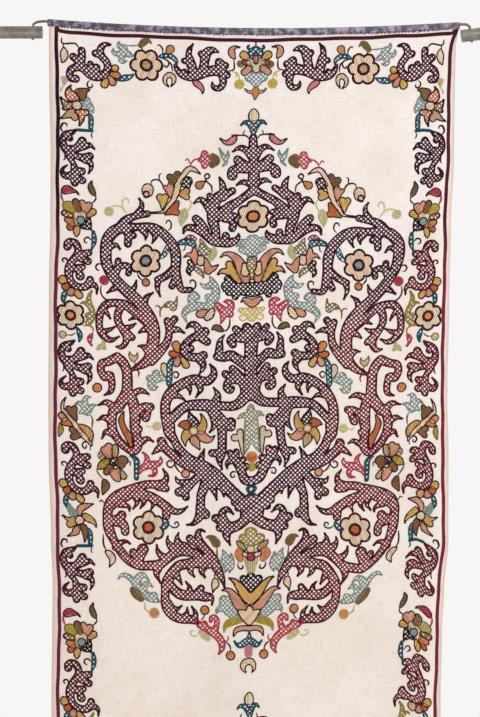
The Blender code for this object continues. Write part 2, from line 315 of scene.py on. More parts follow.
def satinRibs(worked, angle, inset):
    # Parallel floss threads across the motif at its own angle, puffed up towards its middle, from
    # just inside the cord.
    worked = {**worked, "field": worked["field"] + inset}
    pitch, step = stitch["satinPitch"], stitch["satinStep"]
    size = np.array(worked["field"].shape[::-1]) * worked["step"]
    middle, reach = worked["low"] + size / 2, np.linalg.norm(size) / 2
    run = np.array([math.cos(math.radians(angle)), -math.sin(math.radians(angle))])
    side = np.array([-run[1], run[0]])
    lines, stops = np.arange(-int(reach / pitch), int(reach / pitch) + 1), np.arange(-reach, reach, step)
    i, k = np.meshgrid(np.arange(len(stops)), lines)
    shade = (np.sin((k + middle.sum()) * 12.9898) * 43758.5453) % 1.0
    points = (middle + stops[i][..., None] * run + (k * pitch)[..., None] * side).reshape(-1, 2)
    ids = np.arange(i.size).reshape(i.shape)
    deep = 1.0 - np.exp(np.minimum(readField(worked, points), 0.0) / 1.6)
    base = stitch["satinPuff"] * deep
    return clipped(worked, ribs(
        points, np.tile(side * pitch * 0.56, (i.size, 1)), base + stitch["satinHeight"] + 0.08 * shade.ravel(),
        base, shade.ravel(), np.column_stack([ids[:, :-1].ravel(), ids[:, 1:].ravel()])))


def lineRibs(curve, width, height):  # one cord along a stroke's middle line
    run = np.gradient(curve[:, :2], axis=0)
    run /= np.maximum(np.linalg.norm(run, axis=1, keepdims=True), 1e-6)
    taper = np.minimum(1.0, 0.55 + np.arange(len(curve)) * 0.12)
    taper = np.minimum(taper, taper[::-1])[:, None]
    side = np.column_stack([-run[:, 1], run[:, 0]]) * width / 2 * taper
    order = np.arange(len(curve))
    return ribs(curve[:, :2], side, height, -0.15, 0.5, np.column_stack([order[:-1], order[1:]]))


def mirrored(curve):
    return curve * (-1.0, 1.0, 1.0)


# The charts
# Each motif: the thread's colour, how it is filled, its strokes, and where it is worked.
# "side" is mirrored about the centre line and "centre" lies on it, both worked in each medallion.
# Border motifs give the squares that they are repeated at, down the side.
motifs = []
fineSilks = ("greyGreen", "sage", "straw", "leafStraw", "yellow", "olive")


def work(thread, fill, strokes, where="side", angle=45, cord=None, at=(0,), cordWidth=None, over=0.0, whole=False):
    cord = cord or (thread if fill in ("net", "line") else "umber")
    width = cordWidth or stitch["fineCord" if cord in fineSilks else "satinCord" if fill == "satin" else "cordWidth"]
    motifs.append({"thread": thread, "fill": fill, "strokes": strokes, "where": where, "angle": angle,
                   "cord": cord, "at": at, "cordWidth": width, "over": over, "whole": whole})


def net(where, strokes, at=(0,), thread="plum"):
    # Scrolls in the same net that touch or cross are worked as one shape, so they are kept together.
    for motif in motifs:
        if (motif["thread"], motif["fill"], motif["where"], motif["at"]) == (thread, "net", where, at):
            motif["strokes"] += strokes
            return
    work(thread, "net", strokes, where, 45, "darkPlum" if thread == "plum" else thread, at)


def ball(thread, across, down, radius, where="side", cord="umber", at=(0,), over=0.0):
    work(thread, "satin", [[(across, down, radius + 0.2)]], where, 20, cord, at, over=over, whole=True)


def tendril(thread, points, where="side", at=(0,), over=0.0):
    work(thread, "line", [[(a, d, 0.5) for a, d in points]], where, 0, thread, at, over=over)


def rosette(across, down, radius, petal, heart, where="side", at=(0,), petals=6, start=90):
    # Petals that run together inside one heavy scalloped cord, with a ringed heart worked over them.
    turns, radius = np.radians(start + np.arange(petals) * 360.0 / petals), radius + 0.6
    work(petal, "satin", [[(across + out * radius * math.cos(t), down - out * radius * math.sin(t), half * radius)
                           for out, half in ((0.2, 0.2), (0.62, 0.40))] for t in turns], where, 70, "darkPlum", at, 3.5,
         whole=True)
    work(heart, "satin", [[(across, down, 0.35 * radius)]], where, 20, "darkPlum", at, 3.8, 0.8, whole=True)


# upper ring scroll, round the first rosette
net("centre", [
    [(178, 282, 4.6), (176.4, 270, 4.8), (176.2, 258, 5.3), (173, 246, 5.2), (165, 236, 4.8), (157, 230, 4.6),
     (148, 227, 4), (136, 227, 4), (124, 227, 4.8), (114, 231, 5.7), (106.7, 240, 5.8), (105.5, 252, 5.8),
     (107.3, 264, 5.5), (113, 275, 5.3), (121, 285, 5.5), (130, 294, 5.8)],
    [(119, 227, 4.5), (126, 219.5, 4.2), (137, 215.5, 3.6), (147, 214.3, 3.4)],
    [(136, 214, 3.2), (140.5, 208, 2.8), (141, 203, 2), (138.2, 197.6, 0.3)],
    [(124, 229, 4), (128, 234, 3.9), (133, 235.6, 3.4)], [(128, 235, 3.8), (127.4, 243.6, 3.8)],
    [(142.6, 230, 4), (145.4, 234.6, 2.8), (145.2, 240, 0.3)], [(152.6, 231, 4), (154.8, 236.6, 3), (151.8, 244, 0.3)],
    [(109, 248, 2.6), (114.5, 244.6, 2.5), (117.5, 246, 1.4), (120.2, 249.6, 0.3)],
    [(114, 276, 4.4), (118, 268, 3.8), (118.4, 260.5, 3.4)],
    [(119, 267, 3.3), (125, 265, 3.2), (130, 267.5, 3), (129, 273, 3.2)],
    [(175, 268, 4), (168, 275, 3.8), (161, 279, 3.6), (157.6, 280, 3)], [(159, 280, 3.2), (157.5, 288, 2.4), (160.5, 297, 0.3)],
    [(176, 278, 3.4), (172, 286.4, 3.3)], [(178.5, 282, 4), (182, 290, 3.2), (191, 290.3, 2.8)],
    [(119, 286, 3.4), (114, 288, 2.8), (107.2, 292.6, 0.3)], [(130, 293, 3), (134.5, 288, 2.6), (136.8, 281, 0.3)],
])
rosette(146, 261.5, 15, "peach", "greyTeal")
work("teal", "net", [[(166.4, 245.6, 0.8), (166.4, 250, 2.8), (163.4, 255.6, 2.6), (158.8, 259.8, 0.8)]], cordWidth=1.5)
ball("orange", 146.2, 283, 3.8)
tendril("umber", [(138, 273), (139, 277), (142.5, 281)])
tendril("umber", [(165.8, 224.4), (166.5, 221.8), (169, 220.8), (171, 224), (170.6, 228.4), (168, 230.8)])
tendril("umber", [(102, 263.8), (98, 264), (96.2, 267), (98, 270), (100.5, 270)])
ball("straw", 108.6, 211.4, 4.3, cord="straw")
tendril("straw", [(126, 213), (121, 207), (116, 205.6), (111, 206.5)])
tendril("straw", [(122, 207), (122, 201), (125, 198), (128, 199.5), (128, 203)])
work("olive", "net", [[(177, 297.2, 0.3), (176.2, 302.6, 1.6), (174.4, 308.4, 2.6)], [(166.2, 305.6, 2.4), (170.6, 304.6, 3.4), (173.4, 308.2, 3.4)]])
tendril("olive", [(160.2, 317.4), (160.4, 311.4), (162.6, 307.4), (166.4, 305.4)])
tendril("olive", [(160.6, 311), (160, 307.4), (157.4, 305.8), (155.6, 307.4)])
# middle stem and its double hook
net("centre", [
    [(119, 285, 4.6), (128, 292, 5.2), (136, 299, 5.4), (143, 307, 5.8), (149, 317, 6.4), (152.5, 327, 6.4), (153, 338, 6.2),
     (151, 350, 6), (149, 358, 5.4), (143, 364, 4.4), (137, 367, 3), (131, 370.5, 1.4)],
    [(119, 286, 3.4), (114, 288, 2.8), (107.2, 292.6, 0.3)], [(130, 293, 3), (134.5, 288, 2.6), (136.8, 281, 0.3)],
    [(145, 304, 3), (147, 297.5, 2.6), (153.5, 293, 0.3)],
    [(148, 329, 4), (142, 330.5, 2.4), (137.6, 333.6, 0.3)], [(147, 350, 4), (143, 347, 2.4), (138, 346.4, 0.3)],
    [(151, 361, 5), (160, 351, 5), (166, 343, 4), (168.5, 332, 3.6), (167, 321, 3.5)],
    [(168, 327, 3.2), (174.5, 319.5, 3.6)], [(169, 331, 3.6), (177, 330, 2.8), (183.8, 333.8, 0.3)],
    [(146, 322, 5), (136, 313, 4.5), (127, 305.5, 4.6), (117, 302.5, 4), (108, 303.5, 4), (102, 310, 3.8), (99.5, 319, 3.6),
     (99.5, 329, 3.6), (104, 336, 3.6), (111, 339.5, 2.6), (118.8, 336.2, 0.3)],
    [(105, 309, 2.6), (108.5, 314, 1.8), (110.8, 318.6, 0.3)], [(103, 331, 3), (109.5, 329, 2), (115.2, 326, 0.3)],
    [(122, 306, 4), (118.5, 313, 3.8), (118, 320, 3.8), (121.5, 328, 3.8), (126, 337, 3.8), (124.5, 344, 3), (121, 347, 2.4),
     (116, 346.2, 0.3)],
    [(127, 333, 3.4), (131.5, 337.8, 3.4)], [(139, 316, 2.8), (134, 318, 2), (128.8, 320.4, 0.3)],
    [(123, 328, 3), (130, 327, 2.2), (136.2, 323.4, 0.3)],
])
ball("red", 104.5, 280, 4.4, cord="red")
tendril("plum", [(101.5, 285), (101, 291), (103, 296), (107, 299), (112, 299.5)])
work("straw", "satin", [[(129.6, 352.4, 0.3), (129.8, 355.6, 1.6), (133, 359, 3.2)], [(137, 353.6, 0.3), (136.8, 356.6, 1.4), (133.6, 359, 3)]],
     angle=90, cord="brown")
tendril("umber", [(134, 362.6), (135, 365.4), (134.6, 368.6)])
tendril("plum", [(131.6, 370.4), (135.6, 369.8), (138.4, 372.4), (138, 377)])
# lower-left stem down to the V where two arms meet
net("centre", [
    [(117, 357, 4.6), (122, 362, 5), (126, 370, 5), (127, 380, 5.2), (127, 392, 5.4), (122, 402, 5.6), (118, 408, 5.4)],
    [(117, 357, 4.8), (108, 361, 4.2), (101.5, 363, 4), (100.5, 370, 3.8), (104, 377, 3.4), (108, 374.5, 4)],
    [(110, 375, 3.8), (112, 384, 3.4), (111, 391, 2.8), (104.8, 394.6, 0.3)],
    [(131, 396, 3.6), (139, 391, 3.2), (144, 391.5, 2.4), (149.6, 394.6, 0.3)],
    [(129, 394, 6), (134, 404, 5.6), (135.5, 416, 5.6), (135, 426, 5), (137, 436, 4.6), (138, 445, 4.6), (134, 451, 4),
     (128, 449, 4), (119, 440, 4.2), (113.5, 430, 4.6), (112, 418, 4.8), (115, 407, 5)],
    [(114, 407, 3.8), (107, 402, 3), (98.6, 404.4, 0.3)], [(110, 420, 3.4), (104, 417, 2.8), (97.6, 419.6, 0.3)],
    [(113, 434, 3.4), (106.5, 431.5, 2.6), (102.6, 438.4, 0.3)],
    [(137, 413, 4), (144, 406.5, 3.6), (151, 407.2, 4)], [(149, 410, 3), (146, 418, 4.2)],
    [(138, 433, 3), (139.5, 428.8, 3.4)], [(139, 444, 3.4), (146, 439.4, 2.8), (149.5, 439.5, 1.8), (153.6, 442.4, 0.3)],
])
work("rust", "satin", [[(124.2, 411.5, 0.5), (121.6, 420, 2.9), (124, 428, 3), (128.5, 436, 3.6), (131.2, 445, 1.8)],
                          [(125, 430, 2.4), (130, 435, 2.8)]], angle=80)
ball("orange", 97.4, 387, 4.5)
work("leafStraw", "satin", [[(97.4, 348.8, 1), (100.8, 345.6, 2.6), (104.8, 347.8, 1.4)], [(103, 339.2, 0.6), (103.2, 343.8, 2)]],
     angle=60, cord="leafStraw")
ball("straw", 157, 426.8, 4, cord="straw")
tendril("straw", [(146, 425.5), (149, 427), (153, 427)])
# top finial and the column below it
work("cream", "satin", [[(254, 111.5, 3.4), (254, 115.5, 5.4), (254, 119, 4.2)]], "centre", 90)
work("teal", "net", [[(241.2, 124.8, 0.3), (244.5, 122, 1.8), (249, 122.5, 3), (253, 125.5, 4.8)],
                     [(254, 124, 4.4), (254, 129, 3.8), (254, 132, 2.4)]], "centre")
tendril("umber", [(250, 138.6), (246.5, 135.2), (240, 134.8), (232, 135)])
tendril("umber", [(244, 135), (244.2, 132), (245.6, 130)])
work("pink", "satin", [[(236.4, 136.4, 1.4), (234, 139.5, 3.4), (230.5, 142, 3.2), (226, 142.4, 2), (220.3, 138.2, 0.4)]],
     angle=60)
work("red", "net", [[(205, 154, 3.6), (205, 160, 4.6), (204.4, 166, 3)], [(199.5, 159.6, 2), (205, 160, 4.4)],
                    [(208.6, 160, 4.2)]])
tendril("red", [(199.5, 159.2), (195.6, 159.2), (191.7, 162.4), (190.2, 167)])
tendril("red", [(190.4, 163.6), (187.8, 159.2), (185.4, 160.8)])
work("olive", "satin", [[(213, 156.5, 3), (215.4, 160.5, 4.6), (212, 165, 3)]], angle=0, cord="olive")
work("greyGreen", "net", [
    [(219.7, 148.2, 0.5), (222, 153, 1.6), (224.5, 157.5, 2.6), (228, 155.5, 2), (228.4, 150.8, 0.5)],
    [(224.5, 157.5, 2.4), (226, 162, 1.8), (222.4, 166.3, 0.5)]])
work("orange", "satin", [[(199.4, 185.4, 4.3), (202.4, 183.4, 2.2), (205, 181.6, 0.8)]], angle=30)
tendril("umber", [(205.4, 178.6), (204.7, 176), (207.3, 173.8), (209.8, 176.4), (207.6, 179), (205.4, 178.6),
                  (207, 182), (211.2, 186.2), (212, 193)])
net("centre", [
    [(254, 137, 3.6), (254, 147, 4.6), (254, 160, 4.8), (254, 172, 5.2), (254, 184, 5.2), (253, 190, 4.6)],
    [(252, 156, 4.6), (247, 150, 3.6), (242, 147.4, 3), (237.5, 148.4, 1.8), (233.3, 151.4, 0.3)],
    [(238, 159.8, 4.6), (245, 165, 4.8), (252, 170, 5)], [(246, 168, 5), (238, 168, 4.6), (232.6, 171, 5), (232, 174.8, 5.2)],
    [(252, 184, 4.4), (247, 182.4, 3.2), (242, 181.6, 2.4), (236, 184.6, 0.3)],
    [(253, 190, 4.6), (246, 195, 4), (238, 200.6, 4), (230, 205.5, 4.8), (223, 211.5, 5.4), (216, 218, 5)],
    # crown of leaves beside it, and the boat-shaped leaf below
    [(215.5, 240, 4.6), (215.5, 230, 4.8), (212.5, 220, 5.4), (212, 212, 5.8), (213, 204, 6), (217, 198, 5.4), (222, 194, 4.4)],
    [(222, 196, 4.2), (223, 189, 3.6), (222, 183, 2.8), (219, 176.6, 0.3)], [(222, 197, 4.4), (228, 192.6, 3.8), (232.3, 190.4, 3.6)],
    [(211, 203, 4), (209.4, 196.4, 3.4)],
    [(209, 209, 4.6), (204.5, 203, 3.6), (200.5, 200, 3), (197, 200.6, 2), (193.2, 203.5, 0.3)],
    [(226, 213, 5), (231, 214.8, 3.6), (234.4, 215.5, 3.2)], [(224, 218, 4), (229.5, 219.6, 3.4), (233.4, 223, 3.4), (232.6, 227.4, 4)],
    [(183.2, 234.2, 0.3), (184.6, 229.6, 2.2), (188, 227.6, 3.2), (194, 228.5, 3.8), (200, 231.5, 4), (207, 236.5, 4.4),
     (214, 241, 4.8), (222, 241.8, 4.8), (230, 242, 4.6), (236, 239.6, 3.2), (238.8, 236, 2), (238.6, 233, 0.3)],
    [(195.6, 219, 4), (200, 223.5, 4.4), (205, 231, 4.6)], [(226, 235.4, 4), (226, 240, 3)],
])
rosette(252, 216.4, 15, "cream", "orange", "centre")
# bent cream stem with its leaves
work("peach", "satin", [[(150.8, 213.5, 1.1), (158, 213.2, 1.1), (163, 212, 1.6), (167.5, 206.5, 2), (173, 199.5, 2.6),
                         (176.3, 192, 3.4), (178.5, 184.5, 3.4), (183, 176, 2.8), (187.5, 170, 2.8), (191, 168.6, 2.6),
                         (195.5, 170.4, 2), (200.3, 173.8, 0.3)]], angle=50)
work("black", "net", [[(184, 183.4, 4.2), (188, 181.2, 4.8)], [(187, 185, 4)]])
work("gold", "satin", [[(186.6, 191, 3.4), (182, 194.2, 3.6)], [(186, 196.8, 3.4), (182, 194.2, 3.6)]], angle=10)
work("rust", "satin", [[(177.4, 202, 1.4), (175, 206, 3.2), (171.5, 211, 3.8), (165, 214.4, 1.4)],
                       [(171, 211.5, 3.6), (176, 212.6, 3.4)]], angle=45)
work("gold", "satin", [[(159.4, 198, 3.6), (162, 203, 3.6), (161.6, 209.6, 1)], [(165, 197.6, 3.4), (162.5, 203, 3.4)]], angle=80)
work("salmon", "satin", [[(170.8, 186, 3.2), (169.8, 191.5, 3.8), (169.5, 197.5, 1.2)], [(165, 188, 2.2), (168.5, 192, 2.6)]],
     angle=70)
work("olive", "satin", [[(170.4, 178, 3.6)], [(177.6, 174.6, 3.2), (174, 180, 3.4), (172, 182.5, 3.4)]], angle=40)
work("peach", "satin", [[(147.8, 189.6, 5.8), (147.4, 192, 5.6)]], angle=20)
tendril("umber", [(143.4, 194.5), (144.2, 197), (146.4, 197.4), (148.6, 195.6), (148.6, 193), (146.4, 191.6), (144, 192.4),
                  (143.4, 194.5)], over=0.6)
tendril("umber", [(150.8, 184.6), (153, 180.6), (159, 180.8), (162.4, 184.6), (163.4, 188.5)])
tendril("umber", [(159.6, 180.8), (159.6, 176), (161.8, 174.2)])
work("leafStraw", "satin", [[(183.8, 211, 2.4), (183, 215, 4.6), (181.8, 220, 3.2), (181, 225.5, 0.6)]], angle=80, cord="leafStraw")
tendril("straw", [(188.5, 199.3), (191, 203.8), (188.5, 209), (186, 212)])
# grey-green crown and salmon horns of the middle palmette
work("greyGreen", "net", [[(236.8, 246.2, 0.4), (241, 242, 2.6), (246, 242.5, 3.6), (250, 246, 5)], [(241.8, 249.2, 3.2), (247, 251, 4)],
                          [(254, 239.5, 4.6), (254, 248, 5.6), (253, 256, 4.4)]], "centre")
work("salmon", "satin", [[(220.8, 257, 0.5), (225, 253.4, 1.8), (231, 254, 2.8), (237.4, 259, 4.4), (241.6, 266, 5.4),
                          (243.6, 273.5, 6.4), (246, 278.6, 5)]], angle=60)
work("gold", "satin", [[(229.8, 263.8, 3.6), (232, 269, 4), (236, 276, 4), (239.5, 281, 2.8)],
                       [(218.2, 274.4, 0.5), (223, 270.6, 2.4), (229, 271.5, 3.4)]], angle=50, over=0.3)
work("peach", "satin", [[(245, 264.6, 2.6), (245, 268.6, 2.8), (245.6, 272.2, 4.4)]], angle=20, over=0.7)
work("oliveGold", "net", [[(254, 260, 3.8), (254, 268, 3.6), (254, 277, 3)]], "centre", cord="umber", cordWidth=1.8)
# small flower between the ring and the palmette
work("teal", "net", [[(180, 242.8, 2.6), (186, 241.8, 3.4), (192, 243.5, 3.6), (194.6, 247, 2)]])
work("red", "net", [[(186, 239, 1.8), (190.4, 237.8, 3), (194.6, 239.4, 2.2)]], cord="umber", cordWidth=1.6)
tendril("teal", [(185.2, 245), (184.6, 249.6), (182.6, 251)])
work("salmon", "satin", [[(184.4, 257.4, 0.5), (188.6, 254.8, 1.9), (192.5, 256, 3)],
                         [(194.4, 250.8, 2.8), (194.8, 256, 3.6), (195.4, 262, 3), (196, 265.6, 1)]], angle=70)
work("olive", "net", [[(200.2, 239.6, 0.8), (202.4, 244.8, 2.8), (203.4, 250, 5), (207.4, 251.6, 4)], [(201.6, 253.4, 3.6)]])
work("peach", "satin", [[(201.2, 259.2, 3.8), (201.2, 262.4, 3.8)]], angle=0, over=0.4)
work("salmon", "satin", [[(205.4, 258.4, 1.4), (207.4, 264, 3.2), (209, 269.6, 4.2), (208.2, 272.6, 2)],
                         [(209, 269.6, 4), (214, 268.2, 2.6), (218.8, 264.6, 0.5)]], angle=40)
work("black", "net", [[(190.4, 262.6, 3), (192.4, 266.6, 3.8), (189.4, 271.2, 2.8), (190.8, 276, 0.4)]])
work("olive", "net", [[(195.6, 268.8, 1.6), (199.6, 271, 3), (203, 274.4, 2), (204.2, 278, 0.4)]])
work("leafStraw", "satin", [[(214, 248.4, 1.6), (213.6, 252.6, 3.6), (211.8, 257, 3.2), (209.8, 260.4, 1)]], angle=70, cord="leafStraw")
tendril("umber", [(191, 290), (195, 288.4), (196, 283.6), (193.6, 280.6), (190.6, 281.6), (190.8, 284.4)])
# black scalloped band, crescent and yellow knot under the horns
work("black", "net", [[(228.5, 279, 4), (232, 284, 4.6)], [(223.8, 290.6, 0.6), (223.2, 285.6, 2.2), (227, 283.6, 4)],
                      [(229, 287, 5), (228.8, 292, 3.6)], [(236, 289, 6), (235, 296.5, 3.4)],
                      [(228, 287, 5.4), (240, 288.6, 6.2), (251.2, 289.6, 7.6)]], "centre")
work("salmon", "satin", [[(241, 302, 0.5), (243.8, 298.8, 1.6), (247, 301, 3.4), (251.4, 303, 4.2)]], "centre", 0)
work("yellow", "net", [[(240.2, 309.8, 2), (245, 311.4, 3.6), (251, 312.8, 5.2), (251.4, 316, 5)]], "centre")
tendril("yellow", [(247, 317), (243.6, 320.4), (240, 319.4), (239.4, 316.6), (241.8, 315.6), (243.2, 317.4)])
work("red", "net", [[(224, 301.4, 0.8), (227, 301.2, 2.2), (230.8, 303, 3.2), (230.8, 308, 3.4), (227, 311, 4)],
                    [(216.6, 303.6, 2.4), (219, 306, 3.4), (224, 311, 4.4), (230, 313.8, 3.6)],
                    [(223.5, 312, 4), (222.8, 317, 2.8), (220.6, 323, 0.4)]])
work("olive", "satin", [[(211.3, 329.2, 0.5), (214.5, 327, 2.6), (218, 328, 3.4), (221.8, 330.4, 1.4)]], angle=20)
tendril("umber", [(222.4, 330.6), (226, 330), (229, 325), (229.7, 318)])
work("greyGreen", "net", [
    [(210.4, 276.2, 0.4), (213, 281.4, 3), (215.8, 289, 4.2), (214.8, 297.3, 4.4), (211, 303.4, 4.6), (205, 306.4, 4),
     (198, 306.4, 4.2), (191, 308.2, 4.2), (185.6, 311.8, 3.4), (183.8, 316, 2.2), (186.4, 322.8, 0.4)],
    [(200.2, 283.2, 0.4), (204.5, 286.6, 2.2), (209, 286, 3.2), (213, 283, 3)], [(208, 297, 3.4), (213, 298, 4)],
    [(197, 297.4, 3.2), (193.4, 295.6, 4.2), (191.2, 301, 3.6), (194, 305, 3.6)]])
work("salmon", "satin", [[(205.6, 312, 3.2), (202, 313.6, 4.2), (199.4, 314.6, 3.6)]], angle=15)
work("peach", "satin", [[(212.6, 310, 2.6), (209.8, 314.6, 4), (206.8, 317.6, 3)]], angle=50, over=0.3)
net("centre", [
    # scroll beside the red hooks
    [(185.6, 328.9, 0.3), (189, 325.6, 2.4), (194, 324.8, 3.4), (197.5, 328.6, 4), (198.5, 335, 4.8), (192.5, 338, 4),
     (186, 343.6, 4), (182.8, 350, 3.8), (185.4, 355.4, 4), (191.5, 357.3, 4.2), (198.5, 357.6, 4.4)],
    [(204.4, 331.4, 4.4), (200, 336, 4.6)], [(206.4, 341.4, 4), (200, 337.5, 4.4)], [(190.6, 349, 3.6), (185.5, 349.5, 3.4)],
    [(203.6, 355, 4.2), (199, 358, 4.4)], [(199.5, 359, 4.6), (203, 364, 3.6), (202.5, 368.6, 2.4), (199, 374.2, 0.3)],
    # palmette column
    [(235.2, 329, 3.8), (241, 334, 4.4), (247, 339, 5)], [(246.4, 327.4, 5), (250, 336, 7), (250, 346, 5.8), (250, 357, 5.6),
     (250, 372, 5.4), (250, 379, 6.4), (250, 388, 9.4), (250, 394, 6.6)],
    [(241, 338, 4.6), (233.6, 337.4, 4.2), (230.2, 340.4, 4.2), (232.6, 344.4, 3.8)],
    [(217.6, 356.2, 4.4), (224, 357, 4.6), (231, 355.4, 5.2), (238, 359, 5.2), (246, 364, 5.8)],
    [(219, 354.4, 4.4), (219.3, 347, 3.8), (219.5, 341, 2.8), (223.4, 334.8, 0.3)],
    [(232.6, 368.4, 3.6), (238, 374, 4.8), (243, 381, 5.4), (247, 387, 6)], [(225.4, 373.8, 3.8), (231, 377, 4.4), (237, 379, 5)],
    [(233, 379, 4.6), (228.4, 382, 3.8), (227.2, 387.4, 3.8), (230.6, 390, 3.6), (233, 388, 2.4)],
    [(250, 392, 6.4), (245, 397, 5.8), (240, 402.4, 5), (233, 405.7, 4.6), (222, 405.8, 4.6), (214, 405.8, 5.4),
     (206, 405, 6), (198, 405, 5.6), (190, 405.6, 5), (182, 409.5, 4.8), (176, 415, 4.8), (170, 421, 5)],
    [(215, 404, 4.6), (218, 398, 3.8), (218, 393.4, 2.6), (214.2, 387.6, 0.3)],
    # heart-shaped band
    [(209.5, 363.4, 0.3), (213.4, 369, 2.6), (213.4, 375.5, 3.8), (208.5, 380.6, 4.4), (202.5, 380.8, 4.4), (196, 379.4, 5),
     (188, 381.6, 5), (180, 386, 5), (173, 391.4, 5.2), (168.4, 398, 5.2), (166, 405, 5), (165.6, 412, 5), (166.6, 420, 5.4),
     (169, 429, 6)],
    [(185, 384, 3.2), (190, 388.5, 2.6), (190.8, 394.8, 0.3)], [(198, 382, 4), (201, 388, 3.2), (200, 392, 2), (196.4, 397.5, 0.3)],
    [(172, 396, 4), (178, 396.4, 2.8), (182, 398, 1.8), (186, 401, 0.3)],
    [(210, 408, 5.2), (216, 414, 5.2), (222, 420, 5), (226, 424, 5)], [(231, 421.8, 4.8), (225, 424, 4.6)],
    [(213, 413, 4.8), (214.5, 421, 3.8), (213.4, 427, 2.4), (209.4, 432.8, 0.3)],
])
work("orange", "satin", [[(175.4, 345.6, 4.2), (177.4, 350.4, 3.6)]], angle=80)
work("rust", "satin", [[(171.6, 354.2, 3.2), (176.4, 355.8, 3.6)]], angle=0)
work("salmon", "satin", [[(177.6, 359.6, 3.4), (176.4, 364, 3.8)]], angle=70)
work("gold", "satin", [[(182.4, 359.6, 2.6), (185.8, 365.2, 4)]], angle=120)
work("teal", "net", [[(171.6, 360.6, 2.4), (169.4, 366, 3), (169.2, 375, 3.2), (169, 383, 2.8), (169.6, 388.4, 0.5)]])
work("cream", "satin", [[(163.6, 366, 3), (163.8, 371, 3.2), (166.4, 377.6, 1)]], angle=80)
work("greyGreen", "net", [[(155.8, 373.6, 3.8), (155, 379, 4)], [(149, 378.2, 3.2), (155, 379.6, 3.8), (163.4, 378.4, 3)],
                          [(153, 379, 3.8), (151.6, 386, 4), (155, 389, 1.8), (158.4, 386.6, 0.4)]])
tendril("umber", [(172, 374.8), (175.5, 372.4), (178.5, 375), (177, 378.4), (174.4, 378), (173.8, 375.8)])
# heart-shaped band, lower part, with the stem that runs beside it into the knot
net("centre", [
    [(169, 427, 6.2), (170, 434, 5.6), (174.2, 440.6, 4.4), (177.4, 447, 4.4), (183, 454, 4.6), (191, 460.6, 5),
     (201.4, 466.6, 6.6), (213, 475.6, 8), (224, 484.6, 7.2), (234, 493, 6.4), (240.6, 500, 7)],
    [(161.6, 442.2, 4.5), (165, 449, 4.6), (171, 454.6, 4.6), (178.6, 460.8, 4.8), (188, 466, 5), (201, 470, 6)],
    [(163, 447, 4.4), (157, 450.4, 3), (151.4, 455, 0.3)], [(199, 463, 3.8), (201, 457, 3), (204.1, 449.4, 0.3)],
    [(202, 474, 4.6), (194.6, 480, 4.2), (188, 486, 5), (184.6, 491, 4.4), (185.8, 497.4, 3.8)], [(187, 488, 4.2), (178.6, 492.6, 4.3)],
    [(191, 482.6, 4), (183, 482.8, 3.2), (177.4, 481.4, 2.2), (175.2, 477.2, 0.3)],
    [(208, 478, 6.4), (204, 488, 5), (200.9, 496, 4.4), (200.6, 505, 4.3)],
    [(210, 483, 4.4), (214.4, 491, 3), (216.9, 500, 0.3)], [(232, 491, 3.6), (226.6, 489.2, 2.6), (223.2, 491.6, 1.8), (224, 496, 0.3)],
    # uprights inside the band
    [(215, 416, 5.6), (221, 424, 5.4), (222.2, 434, 4.6), (222, 447, 4.5), (220, 455, 4.6), (219, 461, 3), (221.6, 469, 0.3)],
    [(219, 453.4, 4.2), (211.6, 453.2, 3.8)], [(222, 425.6, 4.6), (230.6, 426, 4.8)],
    # garland under the tunic
    [(229.6, 452.4, 3.4), (233.6, 457.6, 4.8), (237.8, 463.4, 4.8), (241.2, 471, 4.4), (244.6, 478.6, 4.7), (250.4, 481, 4.8)],
    [(236, 451, 3.2), (235, 457, 4)], [(242.6, 458.6, 3.2), (238.6, 463, 4)], [(245.4, 466, 3.7), (240.6, 468, 4.2)],
    [(235, 459.6, 4), (229.6, 460.4, 3.2), (226.4, 463.4, 2.2), (226.5, 467.8, 0.4)],
])
tendril("umber", [(236.4, 471.4), (232.4, 471), (230.2, 473.6), (231.6, 476.5), (234.4, 475.8), (233.9, 473.6)])
tendril("umber", [(173.4, 461), (174, 465), (177, 470), (180.8, 473.4)])
tendril("umber", [(174, 464.4), (170.6, 468), (167, 466.8), (166.2, 463.4), (169.4, 461.2), (170.8, 463.4)])
ball("salmon", 185.2, 473.8, 4.1)
# tunic-shaped leaf, the curls at its foot and the bud below it
net("centre", [[(251.4, 404.6, 1.6), (251.6, 409, 4.4)], [(251.4, 415, 6), (251.4, 424, 7.4), (251.2, 436, 7.4)],
               [(247.6, 440, 3.8), (246, 447, 2.6), (244.4, 452.4, 0.4)], [(237.4, 418.4, 0.3), (242, 415, 2.4), (248, 414.6, 3.6)]],
    thread="sage")
work("cream", "satin", [[(234.6, 437, 3.7), (239, 436.4, 3)], [(240, 431.3, 3.4), (240.6, 438, 2.8), (241.7, 446, 2.1),
                                                              (242.4, 453.4, 1.5)]], angle=30)
ball("rust", 251.4, 456.6, 5.2, "centre", cord="orange")
ball("orange", 251.4, 454, 2.4, "centre", cord="orange")
ball("yellowGreen", 251.2, 466.6, 3.8, "centre", cord="yellowGreen")
net("centre", [[(250.6, 485.4, 1.5), (247.7, 488.4, 1.5), (249.4, 491.6, 1.5), (250.6, 494.4, 1.8)]], thread="teal")
